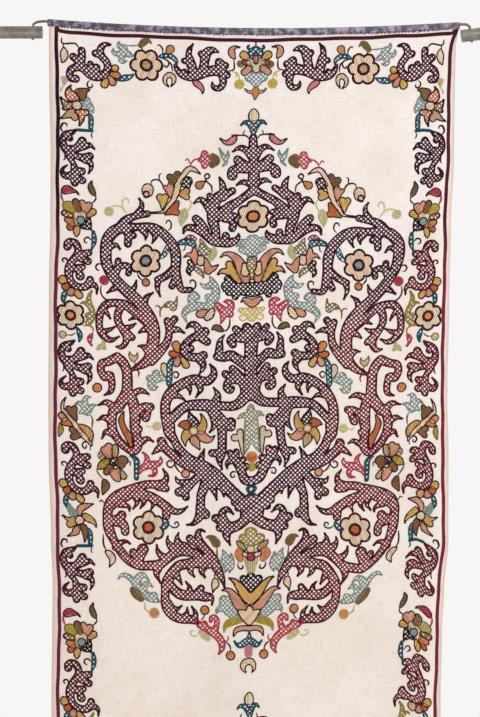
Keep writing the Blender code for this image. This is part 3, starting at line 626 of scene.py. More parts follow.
# flower inside the band
work("rust", "satin", [[(178.6, 426.4, 0.5), (182, 425, 3), (186.4, 425.2, 5.2)]], angle=70)
work("black", "net", [[(189.3, 411.6, 0.3), (190.6, 416, 2.8), (193.4, 423, 6)]])
work("gold", "satin", [[(200.8, 413.6, 0.4), (203.4, 419.4, 2.4), (203.2, 425, 4), (201, 429.6, 4.8)]], angle=60)
work("gold", "satin", [[(187.2, 434.4, 5.2), (184.8, 438.6, 3.6), (185.4, 446, 0.4)]], angle=110)
work("salmon", "satin", [[(201.4, 435.6, 5.2), (206, 439, 4.4), (210.6, 439.4, 2.4), (214.7, 436, 0.4)]], angle=20)
work("tan", "satin", [[(194.8, 440.6, 5.2), (197, 445, 3), (199.6, 449.8, 0.5)]], angle=90)
ball("cream", 193.7, 430.9, 4.2, cord="brown", over=0.4)
# round flower left of the heart
work("salmon", "satin", [[(104.5, 450, 4.1), (108, 454, 4.1), (111, 457, 2)], [(109, 446.6, 3.9), (109, 452, 3.9)]], angle=50)
work("tan", "satin", [[(115.4, 447.4, 3.4), (114.4, 453, 3.9), (113, 457.4, 1.2)]], angle=90)
work("olive", "net", [[(102, 455, 4.4), (107, 458, 3.2)]])
work("brown", "satin", [[(118, 463, 3.7), (122, 460.4, 5.1), (126, 460.4, 2)], [(121, 464.5, 3.9), (122, 461, 3.7)]], angle=10)
work("yellowGreen", "satin", [[(106.5, 461, 3.2), (102, 464.6, 4.1), (98, 468, 1)]], angle=130)
work("brown", "satin", [[(109.5, 468, 4.1), (106.4, 471.6, 3.4)]], angle=60)
work("salmon", "satin", [[(113, 472, 4.1), (116, 477, 3.9), (118.4, 479.4, 2.4)], [(118, 470.5, 2.9), (117, 476, 3.7)]], angle=120)
work("tan", "satin", [[(120.6, 471.4, 2.4), (123.4, 476, 3.4)]], angle=100)
work("black", "net", [[(113.6, 461.4, 4.8)]])
work("brown", "satin", [[(104.5, 481.4, 2.6), (105.6, 485.4, 4.2), (103.6, 490.4, 2.4), (102.2, 494.6, 0.4)]], angle=40)
tendril("olive", [(96.4, 468.4), (98.3, 473), (103.4, 479.3)])
tendril("umber", [(127, 460.8), (129.6, 462), (129.4, 465.6)])
work("teal", "net", [[(129.6, 455.4, 0.3), (133, 456.8, 1.8), (136, 461, 3), (136, 466, 2.6), (136, 472, 2.4), (136.2, 478, 2.4)]])
work("red", "net", [
    [(138.4, 474.4, 0.6), (141, 469, 2.8), (146, 466, 4), (152, 465, 3.6), (157.5, 464.4, 3), (160.4, 461, 1.8), (159.6, 457.8, 0.4)],
    [(144.5, 466, 3), (146.6, 460, 2.6), (145.4, 455.6, 1.6), (142.4, 452.4, 0.3)],
    [(152, 467, 2.6), (154.6, 472, 2.6), (153, 476, 1.8), (148.4, 476.6, 0.4)]])
# lower ring with its claws
net("centre", [
    [(162, 469.6, 0.3), (166, 476, 2.2), (164.4, 482.6, 3.6), (157, 485.2, 4.2), (147, 485, 4.2), (138, 487.6, 5.2),
     (126, 493.2, 7), (117.4, 497.6, 7), (110.8, 503, 6.2), (107.8, 509.6, 5), (108, 517, 5), (108.5, 524, 5.2),
     (110.4, 531.2, 5.2), (113.4, 538, 4.4), (117.2, 545, 4.2), (121.8, 551.6, 4.4), (126.6, 557.4, 4.4),
     (132.6, 562.6, 4.4), (140, 566.2, 4.4), (150, 566.2, 4.8), (158.6, 565.4, 5), (165, 561, 4.6), (171.4, 556, 4.8),
     (177, 551.8, 5.6), (183, 549.4, 7.2), (188.4, 551.8, 5.4), (194, 553.6, 4.8), (201, 558.6, 5.4), (208, 563, 5.6)],
    [(158, 487.6, 4), (165.4, 489, 3.9)],
    [(119, 503.4, 4), (125.6, 505, 2.6), (129, 507.4, 1.6), (129, 511.2, 0.3)], [(135, 496.6, 3.8), (136.7, 502.8, 2.2), (132.6, 508.8, 0.3)],
    [(141.8, 496, 4), (143.4, 502.8, 2.5), (139.8, 508.8, 0.3)], [(151, 498.4, 4), (153.1, 504.4, 2.4), (150.8, 510.6, 0.3)],
    [(136, 492.6, 5), (144, 495, 4.8), (152, 498.4, 5), (159.4, 502.8, 4.8), (166.2, 507.4, 4.8), (172.6, 511.2, 3.6),
     (180, 511.8, 2.8), (187.7, 507, 0.3)], [(166.4, 509, 4.4), (166.6, 516.6, 4.1)],
    [(112, 520.4, 4.8), (118.4, 519, 5), (121.8, 514.8, 4.6)], [(116, 521, 4.8), (122.8, 523, 4.6), (125.4, 527, 4.2), (125.7, 531.2, 4.2)],
    [(116, 546.6, 3.8), (120, 542.6, 3), (124.6, 541, 2), (128, 541.6, 1.2), (130.8, 544, 0.3)],
    [(139, 565, 4.8), (139.8, 558, 5), (143.2, 549.8, 5.7)], [(137.6, 558.6, 4), (133.3, 552, 3.7)],
    [(157, 545.4, 0.3), (157.6, 550.4, 1.9), (160.4, 555, 3.2), (166, 558.6, 4)], [(158, 568, 4.8), (156.6, 575, 2.8), (159.8, 583.6, 0.3)],
    [(168.2, 536.4, 0.3), (167.8, 541, 1.8), (170.6, 546, 3.6), (176, 550.4, 5)], [(179.2, 533.2, 0.3), (177.4, 538.6, 2.3), (178.6, 545, 4.8)],
])
rosette(149, 528.1, 15.7, "cream", "rust")
work("teal", "net", [[(168.4, 521.2, 0.8), (167.2, 525, 2.5), (163.6, 528.5, 2.5), (160.8, 527.8, 0.6)]])
tendril("teal", [(170, 525), (173, 527.6), (177, 527.8), (179.3, 525.4), (178.2, 522.6), (175.4, 523), (175.8, 525.4)])
# vertical scroll, knot and the two arms below it
net("centre", [
    [(200.6, 504, 4.4), (200.8, 510, 4.8), (205.8, 514.6, 4.8)],
    [(200.2, 506, 4.4), (200, 516, 4.6), (196.6, 521.6, 3.1), (193, 524.6, 1.9), (187.6, 525.4, 0.3)],
    [(250.4, 498, 5), (249.6, 505, 8), (248.4, 512, 8), (245.6, 519, 5.4), (239.6, 524.2, 5.2), (233.3, 526.8, 5.4),
     (228, 530, 5), (227.2, 536, 3.6), (228.5, 540, 2.1), (230.3, 544.8, 0.3)],
    [(234.8, 501.8, 3.7), (242, 502, 5)], [(238, 507.7, 3.3), (242.6, 506, 4)],
    [(232, 527, 5), (226, 523.4, 5), (221, 520.6, 4.4), (215.8, 517.8, 3.9)], [(228, 527.6, 4.8), (220.4, 527.2, 3.9)],
    [(226, 522, 4.6), (222.5, 516, 4.4), (223.6, 510.6, 3.6), (227.4, 508.6, 2.8), (231, 510.6, 1.8), (234.2, 513.8, 0.3)],
    # scrolls at the foot of the medallion
    [(205.8, 532, 0.3), (202, 530.4, 1.5), (198.7, 533, 2.8), (199, 539, 3.8), (203, 546, 4.2), (209, 554, 5.2),
     (213.8, 562, 5.8), (218.4, 570, 4.6), (221.8, 578, 3), (224.2, 588, 0.3)], [(190.2, 539, 3.9), (196, 543.4, 3.9), (203, 549, 4)],
    [(203, 563, 5.6), (196, 563, 5.6), (188, 564.4, 5.2), (180, 566, 5.2), (174, 571, 5), (169, 578, 5.3), (165.4, 585, 5),
     (164.5, 592, 4.2), (164.7, 600, 4.5), (166.6, 608, 5), (172, 615, 5.1), (180, 619.5, 4.7), (190, 619.8, 4.5), (196, 621.4, 3.2)],
    [(190.6, 567, 4), (190.8, 572.6, 2.6), (194.6, 577.8, 0.3)], [(203, 567, 4.4), (201.8, 572.2, 2.8), (205.3, 578.2, 0.3)],
    [(175, 573, 4.6), (178.4, 579, 2.7), (181.6, 586, 0.3)],
    [(167, 582, 5.2), (172, 589, 4.8), (178, 594.2, 5.2), (184, 596.2, 5.1), (190.6, 596.8, 4.4), (198, 595.6, 5.2),
     (205, 596.6, 4.8), (210, 596.8, 3.4), (212.2, 600.6, 1.4), (211.6, 604.6, 0.3)],
    [(185.4, 582.6, 0.3), (188.8, 587.6, 2.2), (188.8, 593, 3.8)], [(200.6, 588.3, 3.5), (197, 592.6, 4)],
    [(168, 604, 4), (172, 608.6, 3.4), (176.4, 610, 2.5), (181.7, 606.6, 0.3)],
    [(183.6, 618, 3.4), (187, 613.6, 2.2), (186.9, 607.8, 0.3)], [(194.6, 619.4, 3.4), (195.4, 613.4, 2.4), (191.6, 607, 0.3)],
])
work("brown", "satin", [[(206.8, 537.4, 0.5), (210, 537, 1.8), (214, 539.4, 3.9), (216.2, 542.6, 4.3)]], angle=120, cord="olive")
tendril("olive", [(217, 547), (217.4, 557), (220.6, 560.2)])
work("greyGreen", "net", [
    [(222.6, 549.2, 0.3), (224.8, 554, 2.6), (225.4, 559, 4.6), (228, 565, 5)], [(231.2, 552.6, 0.4), (231, 558.6, 3), (230.8, 564.6, 4)],
    [(226, 563, 3.6), (226.6, 568, 2.1), (224.8, 571.8, 0.3)], [(232, 564, 2.8), (231.4, 568, 1.9), (229, 572.2, 0.3)]])
work("peach", "satin", [[(215, 580.6, 3.1), (214.6, 584, 3.9), (213, 588.4, 1.6), (212.2, 592.2, 0.4)]], angle=45)
tendril("umber", [(214.4, 577.6), (214.6, 574.6), (216.4, 571)])
ball("orange", 204.8, 610, 4.4)
tendril("umber", [(204.6, 614.6), (203.2, 618), (200.6, 620)])
# flower on its trunk below the knot
work("oliveGold", "net", [[(251.2, 532.2, 5.2), (250.6, 539.6, 5.6)], [(243.3, 537.7, 4.2), (249, 541, 5)]], "centre")
work("leafStraw", "satin", [[(250.6, 560, 6.4), (250.6, 565, 5), (250.4, 570, 3.6)]], "centre", 90, cord="leafStraw")
work("tan", "satin", [[(237.6, 541.2, 1.2), (240.4, 544.4, 2.8), (244.2, 548.4, 2)]], angle=120)
work("orange", "satin", [[(239.6, 549, 2.4), (238.6, 553.4, 4), (240.2, 558.6, 3)]], angle=90, cord="rust")
tendril("umber", [(238.2, 562), (238, 566), (240.6, 568.6), (243, 566.8), (241.8, 564.4)])
ball("cream", 251, 548.8, 3.6, "centre", cord="olive")
work("peach", "satin", [[(243.8, 553.2, 2.2), (246.6, 554.6, 2.8)]], angle=30, over=0.3)
ball("red", 250.9, 556, 3.9, "centre", over=0.5)
work("black", "net", [[(250.2, 575.8, 4), (250.2, 583, 5.6)], [(243.2, 578.6, 4), (247, 583.4, 5), (250.2, 589, 3)]], "centre")
# tulip
work("salmon", "satin", [[(221.4, 590, 0.5), (226.2, 589.2, 2), (230.6, 592, 3.2), (234.6, 598, 4.8), (239, 604.2, 5.4),
                          (243.5, 608.2, 4.4)]], angle=140)
work("gold", "satin", [[(229, 577.6, 0.5), (234.6, 581, 2.6), (239.6, 587.4, 4.2), (244.4, 594, 5.2), (249.6, 598.6, 5.6)]],
     "centre", 130, over=0.4)
work("peach", "satin", [[(249.5, 607.4, 2.6), (249.4, 613, 5.4)], [(240.6, 611.4, 2.6), (245, 614.6, 4.8), (249.3, 620.6, 3.8)]],
     "centre", 45, over=0.6)
work("greyGreen", "net", [
    [(223.4, 599.6, 4.8), (226.8, 605.4, 6.6), (231, 611, 6), (235.4, 616, 3.4)], [(229.6, 598.6, 3.6), (230, 604, 4.4)],
    [(226, 606, 5), (220.6, 608, 3.6), (217.4, 610, 2), (216.8, 612.8, 0.4)]])
work("yellowGreen", "satin", [[(241, 619.4, 2.6), (235, 620.6, 3.7), (228.6, 623, 3.5), (225, 627, 1.9), (224.2, 631.6, 0.4)]],
     angle=80, cord="yellowGreen")
work("salmon", "satin", [[(249.4, 627.6, 2.8), (242, 627.6, 2.7), (236.2, 630, 2.4), (233.5, 636, 0.6)]], "centre", 0)
work("teal", "net", [[(249.4, 631.6, 0.9), (249.2, 638, 2.8), (245, 641.8, 3.5), (240.6, 644.6, 2.9), (237, 643.6, 1.5),
                      (234.8, 640.8, 0.3)]], "centre")
work("pink", "satin", [[(249, 648, 3.7), (249, 653, 3.5)]], "centre", 0, cord="pink")
work("peach", "satin", [[(245.8, 671.3, 0.5), (243.6, 668.2, 2.1), (243.6, 664.4, 3), (246, 661.3, 3.4), (249, 660.6, 3.4)]], "centre", 0)
# red scroll and buds at the foot
work("red", "net", [
    [(196.4, 621.8, 2), (200, 625, 3.5), (206.4, 628.3, 3.7), (212, 631.8, 4), (217.5, 635.6, 4), (221.8, 641.6, 3.8),
     (222.6, 647, 3.2), (221.4, 651, 1.7), (219.3, 654, 0.3)], [(204.4, 623.6, 3.2), (206, 627.6, 3)],
    [(210.8, 620.6, 1.8), (211.6, 617.2, 2.2), (215, 616.6, 2.3), (217, 620, 2.8), (216.6, 625, 2.9), (214.8, 630, 3.6)]])
tendril("red", [(225, 641), (228, 640), (228.6, 637), (227.4, 635.6)])
tendril("umber", [(225.6, 641.6), (228.8, 643.6), (231, 647), (231.2, 650.6)])
ball("orange", 231.2, 655.2, 4.4)
work("straw", "satin", [[(201, 632.4, 2.5), (204.6, 635.6, 3.1), (208.4, 638.8, 2.1)]], angle=50, cord="straw")
tendril("straw", [(198, 634.8), (195.4, 636.4), (191.6, 635.6), (190, 633.2), (191.4, 631), (194.2, 631.4)])
# leaf at the left of the foot
work("greyGreen", "net", [
    [(118.2, 578.2, 0.3), (121.6, 575, 1.7), (126, 575, 2.5), (131.6, 579.4, 3.1), (135.6, 585.3, 3.6), (140.6, 591, 4.2),
     (148, 597.4, 4), (154.6, 600, 3.2), (159.6, 602.3, 0.4)],
    [(137, 583.4, 3.6), (138.6, 577.8, 3.6), (142.6, 575.6, 3), (146, 577.4, 1.5), (148.5, 580.6, 0.3)],
    [(143, 591, 3.2), (144.4, 586.2, 3), (147.6, 584, 2.4), (152.3, 587.6, 0.3)], [(150, 597, 3.7), (153.4, 596, 3.7)]])
work("brown", "satin", [[(132.4, 590, 3.1), (136, 594.6, 4.3), (140.8, 599.2, 3)]], angle=45, cord="olive")
ball("orange", 154, 613.4, 4.7, cord="tan")
tendril("tan", [(144.5, 603.4), (144.8, 609), (149, 613)])
# bud left of the lower ring
work("peach", "satin", [[(106.7, 551, 1.5), (110.2, 553.4, 3.5), (113.2, 558.6, 3.3), (110.2, 566, 0.4)]], angle=60)
tendril("umber", [(103.6, 533.6), (103.9, 543.4), (106.4, 549.4)])
tendril("umber", [(98.8, 501.4), (101.2, 500), (103.6, 502.8)])
work("leafStraw", "satin", [[(62.2, 77.6, 1.2), (64.4, 79.4, 2.8), (64, 84, 1)], [(66.4, 80.6, 1), (64.4, 82, 1.6)]], "border", 70,
     at=(0,), cord="leafStraw")
tendril("leafStraw", [(64, 85), (61.6, 88), (60.6, 91.6)], "border")
# side border: flower on a hooked stem
flowers, stems = (0, 1017.5), (0, 414, 1017.5)
work("rust", "net", [
    [(70.7, 85.4, 0.4), (68.8, 88.8, 2.2), (69.5, 94.2, 4.9), (72.6, 96.9, 5.4), (78, 100.3, 2.2)]], "border", at=flowers, cord="umber")
work("brown", "satin", [[(77.2, 91.1, 2.4), (81.8, 93.4, 4.9), (81.8, 99.5, 1.7)], [(82, 92, 4.1), (86, 90, 2.2), (89.8, 89.6, 0.4)]],
     "border", 60, at=flowers)
work("greyTeal", "net", [[(87.9, 98, 1.7), (87.2, 103.4, 4.1), (90.6, 107.6, 3.2), (92.5, 111.8, 0.4)], [(83.7, 104.1, 2.4), (87, 104, 3.7)]],
     "border", at=flowers)
work("brown", "net", [[(60, 96.4, 0.4), (62.4, 100.4, 2), (66, 104.6, 4.1), (70.4, 105.6, 4.1)], [(63.4, 108.4, 2), (67, 106.6, 3.4)]],
     "border", at=flowers, cord="umber")
work("tan", "satin", [[(59.6, 118.4, 0.3), (64, 116.6, 2), (69.4, 113.6, 4.1), (72, 112, 3.7)], [(71, 113, 3.7), (74.2, 117.2, 3.7)]],
     "border", 150, at=flowers)
work("rust", "net", [[(75.6, 111.6, 2.4), (80, 112.2, 3.7), (85.4, 112.2, 3.4)], [(80.4, 113, 3.7), (81, 119, 2.9), (79, 126, 0.4)]],
    "border", at=flowers, cord="umber")
ball("cream", 76.4, 105.3, 4.8, "border", at=flowers, over=0.4)
# side border: the second flower, turned and in other colours
work("greyTeal", "satin", [[(68.8, 503, 0.5), (69.6, 507.6, 2.8), (73.4, 513, 4.2)]], "border", 110, cord="greyTeal")
work("salmon", "satin", [[(79.6, 512.6, 2.6), (80, 508, 3.6), (84.6, 505.6, 3.2), (92.6, 503.4, 0.4)]], "border", 60)
work("gold", "satin", [[(85.4, 515.6, 3.4), (89.6, 518.4, 3.6), (94.4, 521.6, 2.2), (97, 526.8, 0.4)]], "border", 150)
work("brown", "satin", [[(81.6, 525.6, 3), (84.6, 527.4, 3.6), (85.8, 533, 3), (85.2, 541.4, 0.4)]], "border", 20)
work("salmon", "satin", [[(79, 527, 3), (76, 529.8, 3.4)], [(77, 531, 3.2), (73.6, 533, 2.2), (67.6, 535.6, 0.4)]], "border", 120)
work("gold", "satin", [[(74.6, 517.6, 2.2), (68.6, 518.6, 2), (62.6, 514.8, 0.4)], [(74.6, 522.4, 3), (70.4, 523.4, 3.8)]], "border", 90)
ball("cream", 80, 519.6, 4.4, "border", over=0.4)
branches = (0, 210, 415, 630, 835, 1050)
net("border", [[(89.1, 114.1, 1.6), (90.4, 118, 2.4), (90.6, 124.8, 2.5), (90.6, 129, 1.8)], [(77.2, 129.8, 1.3), (92.5, 130.2, 1.3)]],
    stems, "teal")
tendril("teal", [(92.5, 131.7), (91.6, 134.8), (93.1, 137.8)], "border", stems)
tendril("umber", [(62.7, 131.7), (60.7, 127.9), (62.7, 123.3), (66.5, 124), (66.5, 126.7)], "border", stems)
# side border: curling branch with claws
net("border", [
    [(76.8, 129.4, 0.6), (71.8, 132.5, 2.8), (66, 134.6, 3.4), (63.4, 139.6, 3.5), (64.2, 146.3, 3.8), (68, 151.6, 4.2),
     (70.3, 157.7, 3.4), (73.4, 163.1, 2.8), (75.7, 171.5, 4.6), (75.3, 178.4, 4.6), (75.3, 182.4, 3.8)],
    [(68, 135, 3.2), (70.3, 138.4, 3.2)], [(78, 178, 4), (83.3, 179.9, 3.6)], [(78, 171, 4.4), (82.6, 170.8, 3.8)],
    [(73, 175, 4), (67, 176, 3.4), (63, 172.6, 2.5), (63.6, 168.6, 1.5), (67.6, 165.4, 0.3)],
    [(70, 149, 4), (75, 148.6, 3.6), (80, 146, 4.8), (82.8, 140.6, 4.3)], [(80, 147, 4), (86, 145.4, 3.4), (90.4, 144.6, 2.3), (95, 148.4, 0.3)],
    [(72, 154, 4), (78, 156, 3.4), (84, 157.4, 4.2), (90, 155.6, 3.9)], [(85, 159, 3.8), (90.4, 162, 3), (91.6, 167, 2.2), (89.4, 172.8, 0.3)],
], branches)
tendril("umber", [(65, 153.1), (65.3, 158.5), (63.8, 160.4)], "border", branches)
# side border: petalled cluster between two leaves
clusters = (0, 421, 841)
work("red", "satin", [[(65.4, 190.6, 3.8), (68, 189.4, 4.2), (72.6, 190.4, 2.5), (76.4, 191.2, 1.1), (78.8, 194, 0.4)]], "border", 20,
     at=clusters)
tendril("red", [(61.5, 192.2), (61.5, 197.6), (64, 202.6)], "border", clusters)
work("olive", "satin", [[(92.6, 180.2, 0.4), (91, 185.6, 2.5), (92.6, 190.6, 3.1), (94.6, 194.6, 1.4)]], "border", 60, at=clusters)
tendril("umber", [(95.6, 195.3), (95.4, 199), (91.2, 203.2)], "border", clusters)
work("yellowGreen", "satin", [[(65.4, 204.6, 3.2), (69, 207, 5.8), (73.4, 209.6, 3.2)]], "border", 150, "olive", clusters)
work("brown", "satin", [[(75.4, 201.6, 3.7), (77, 205, 4.4), (79, 210, 2.3)]], "border", 110, at=clusters)
work("salmon", "satin", [[(81.8, 202.6, 3.5), (83.6, 206.6, 3.7), (86.2, 211, 2.4)], [(88.6, 204.8, 3.6), (87.6, 208, 3.5)]], "border", 60,
     at=clusters)
work("gold", "satin", [[(92.6, 211.6, 3.7), (88.6, 214.4, 2.9)]], "border", 10, at=clusters)
work("brown", "net", [[(64.4, 213, 3.2), (68.4, 214.6, 3.7), (72.8, 215.4, 2)]], "border", at=clusters, cord="umber")
work("orange", "satin", [[(67.4, 219.6, 3.2), (71, 221.6, 3.7), (74, 223.6, 2)]], "border", 30, at=clusters)
work("rust", "satin", [[(69.6, 226.8, 3.5), (73, 224.8, 3.2)]], "border", 45, at=clusters)
work("gold", "satin", [[(76.4, 228, 3.7), (76.2, 232, 3.2), (76, 235.8, 0.6)]], "border", 90, at=clusters)
net("border", [[(88.4, 218.6, 2.4), (88.6, 223.6, 3.1), (90.8, 229.4, 0.5)], [(82, 226, 2.4), (87.6, 226.6, 2.9)]], clusters, "black")
work("cream", "satin", [[(74.4, 213.4, 2.6), (79.6, 215.6, 5.3), (82.9, 213, 3.2)], [(76.6, 221.2, 3.8), (80, 218, 3.6)]],
     "border", 90, at=clusters, cord="brown")
ball("greyTeal", 80.5, 219.7, 4.1, "border", "umber", clusters, 0.5)
# side border: hooked branch with four ovals
hooks, rounds = (0, 203, 420, 625, 840), (0, 420, 840)
net("border", [[(92.9, 231.3, 1.6), (93.7, 237.3, 2.5), (93.3, 242.8, 2.3), (90.9, 250, 0.4)]], rounds, "teal")
tendril("umber", [(90.5, 239.7), (87.7, 236.9), (84.1, 238.1), (84.1, 241.7), (86.9, 242.5)], "border", rounds)
net("border", [
    [(67, 246, 4.1)],
    [(66, 243, 3), (69.4, 240.9, 3.2), (74.9, 242.8, 3.8), (77.7, 248.4, 3.6), (77.3, 254, 4.2), (72.5, 260.4, 3.8),
     (69.6, 268.4, 4.8), (69.4, 275.5, 4), (72.1, 282.4, 4), (78.1, 286.3, 3.6), (84.5, 286.7, 3.8), (89.3, 283.5, 4.2), (90.5, 279.6, 3.8)],
    [(90, 284, 3.6), (94.9, 285.1, 2.7), (97.3, 288.3, 1.7), (96.9, 293.6, 0.3)], [(80, 254, 4), (88.5, 252.4, 3.5)],
    [(80, 257, 4), (88.5, 261.2, 3.6)], [(74, 268, 4), (82.9, 266.8, 3.2)], [(78.9, 269.6, 2.6), (80.5, 275.5, 4.5)],
], hooks)
tendril("umber", [(67.4, 262.8), (67, 258.8), (63.8, 258), (62.6, 260.4), (64.6, 262)], "border", hooks)
ball("gold", 63.2, 279.5, 4.4, "border", at=hooks)
ball("rust", 66, 286, 4, "border", at=hooks)
ball("salmon", 71.6, 291.5, 4.3, "border", at=hooks)
work("gold", "satin", [[(77, 292, 3.4), (80, 295, 3.8)]], "border", 140, at=hooks)
net("border", [[(66.6, 290.4, 1.4), (64.8, 294, 2.7), (64, 299, 2.1), (65.2, 303, 0.4)]], hooks, "teal")
# side border: rosette, forked leaf and small buds
rosette(71, 314.8, 13.6, "cream", "orange", "border", rounds)
net("border", [
    [(92.2, 290.6, 0.4), (89.6, 296.4, 2), (89.8, 303, 2.9), (92.6, 310, 2.9), (92.6, 317, 2.9), (88.4, 322.6, 3.1)],
    [(81.6, 302.8, 0.4), (85.6, 302.6, 1.5), (89, 304.6, 2.5)], [(88.6, 315.6, 3.2), (91, 320, 2.6)]], rounds, "oliveGold")
tendril("rust", [(82.7, 325.7), (89.2, 325.3), (92.9, 328.5), (92.4, 333.1)], "border", rounds)
net("border", [[(91.8, 333.8, 1.2), (89.6, 337.6, 2.7), (89.6, 341.4, 1.7), (91.8, 345.4, 0.3)]], rounds, "red")
net("border", [[(76.7, 327.1, 0.8), (79, 332.2, 2.5), (80, 336.8, 2.3), (79, 341.4, 0.6)]], rounds, "teal")
ball("straw", 62.6, 334.2, 3.5, "border", "olive", rounds)
tendril("olive", [(66.1, 334.5), (71.6, 334.8), (75.3, 332.6)], "border", rounds)
# side border: bent stem with leaves and a grey-green star flower
work("peach", "satin", [[(66.1, 397.3, 0.4), (63.3, 402.4, 1.5), (62.9, 409.4, 1.9), (67, 413.5, 2.2), (75.3, 423.7, 2.8), (82.7, 432.9, 3),
                         (90.1, 441.2, 2.1), (92, 445.4, 0.8)]], "border", 20, at=rounds)
work("brown", "satin", [[(68.9, 408.9, 3.3), (73.5, 414.4, 4), (76.7, 420.9, 0.8)], [(74.9, 408.4, 3.1), (73.6, 413, 3.4)]],
     "border", 120, at=rounds)
work("salmon", "satin", [[(61.4, 415.2, 3.1), (65, 419, 3.4)]], "border", 45, at=rounds)
work("orange", "satin", [[(66, 421.6, 4.5), (71, 424, 2.3)]], "border", 20, at=rounds)
work("brown", "satin", [[(72.6, 429.2, 3.1), (78, 433, 3)], [(74.4, 436.4, 3.6), (80.9, 434.8, 2.3)]], "border", 45, at=rounds)
work("gold", "satin", [[(80.6, 425.6, 2.3), (86, 428.6, 4), (90.6, 433, 3.8), (91.6, 440, 1.8)]], "border", 100, at=rounds)
work("yellowGreen", "satin", [[(60.2, 423, 0.4), (61.6, 429.6, 2.9), (59.8, 436.6, 0.4)]], "border", 60, "olive", rounds)
net("border", [
    [(75.4, 404.4, 0.3), (79, 402.4, 1.8), (84, 405, 3.5), (86, 408, 3.9)], [(91.2, 396.6, 0.3), (87.4, 396.2, 1.6), (85.6, 399.4, 2.7), (85.8, 405, 3.5)],
    [(96.8, 404.4, 0.3), (93, 405, 2.1), (89.6, 408.6, 3.1), (88, 412, 2.7)], [(79.4, 412.8, 0.6), (83, 411, 2.4), (88, 412, 3)]],
    rounds, "greyGreen")
tendril("olive", [(91, 414.5), (92.9, 419.1), (92.7, 427.4)], "border", rounds)
tendril("umber", [(88.6, 441.6), (84.6, 441.4), (82.8, 444.6), (84.6, 447.4), (87, 446.2), (86.4, 444)], "border", rounds)
tendril("plum", [(90.6, 445.9), (90.6, 449.6)], "border", rounds)
# top and bottom border: branch in the corner with its bud and ovals
net("top", [
    [(82.3, 50.6, 3.8), (82.6, 57, 3.6), (81.4, 64, 4), (86, 70, 4.8), (92, 75, 4.8), (99.5, 75.6, 4.6), (105.6, 72.4, 4.2),
     (107.8, 66.4, 3.8), (106.4, 61, 3.6), (102.6, 56.4, 3.8), (100.8, 51, 3.6), (102.6, 46, 3.2), (106.4, 43.8, 2.2), (110.8, 44.4, 1.2)],
    [(74, 56.8, 3.9), (80, 62, 4)], [(84, 68, 4.4), (77.6, 67, 4), (71.8, 69, 3.8), (69.4, 73.4, 3.5), (70.6, 78, 3.5), (75.4, 78.6, 3.9)],
    [(96.2, 53.2, 3.7), (101, 54.4, 3.4)], [(90.6, 63.6, 3.1), (92, 71, 4)], [(96.4, 66.8, 3.6), (95.6, 73, 4)],
])
tendril("umber", [(62.4, 37.4), (62, 40.4), (64, 43.3), (75.3, 43.3), (79.4, 47.4)], "top")
tendril("umber", [(64, 43.3), (63.7, 48)], "top")
tendril("umber", [(89.4, 80.2), (87, 82.8), (87.4, 86), (90, 87.4), (92.2, 85.6), (91.4, 83.2)], "top")
work("cream", "satin", [[(64.6, 48.4, 1.6), (64.9, 53.4, 4), (64.4, 57.8, 3.2), (62.4, 62.2, 0.6)]], "top", 70)
ball("gold", 114.8, 68, 3.6, "top")
work("orange", "satin", [[(111, 73.8, 2.8), (116.6, 75.2, 3.6)]], "top", 100)
work("salmon", "satin", [[(108.8, 77, 2.6), (112.4, 82, 3.7)]], "top", 60)
work("gold", "satin", [[(106, 80, 3.2), (104.2, 83.6, 4.1)]], "top", 120)
net("top", [[(116.5, 79.4, 1.2), (120.5, 79, 2.4), (124.4, 78, 3.3), (128.4, 77.4, 2.6), (133, 75, 1)]], thread="teal")
net("top", [
    [(119.8, 41.4, 0.3), (118.4, 43.6, 1.2), (120.4, 46.6, 2.4), (124.4, 47.6, 3.2), (125, 52, 3.6)],
    [(114.2, 48.2, 0.3), (113.4, 51, 1.5), (116, 53.4, 2.4), (121, 53.4, 3.2)],
    [(123.4, 54, 3.4), (121.6, 59.4, 2.9), (123.4, 62.2, 1.8), (126.8, 61.2, 0.4)],
    [(126, 53, 3.4), (129.6, 54.8, 3), (131.6, 56.2, 1.5), (134.4, 56, 0.3)],
], thread="greyGreen")
tendril("greyGreen", [(127.4, 45.6), (133, 46.2), (138.6, 45.8)], "top")
work("olive", "satin", [[(141, 46, 2.4), (144.4, 42.6, 3.4), (148.2, 40.8, 1.8), (151.4, 43.6, 0.4)]], "top", 60, "brown")
tendril("plum", [(141, 47.6), (143.4, 50.4)], "top")
rosette(146.2, 65.6, 15.4, "peach", "tan", "top", start=0)
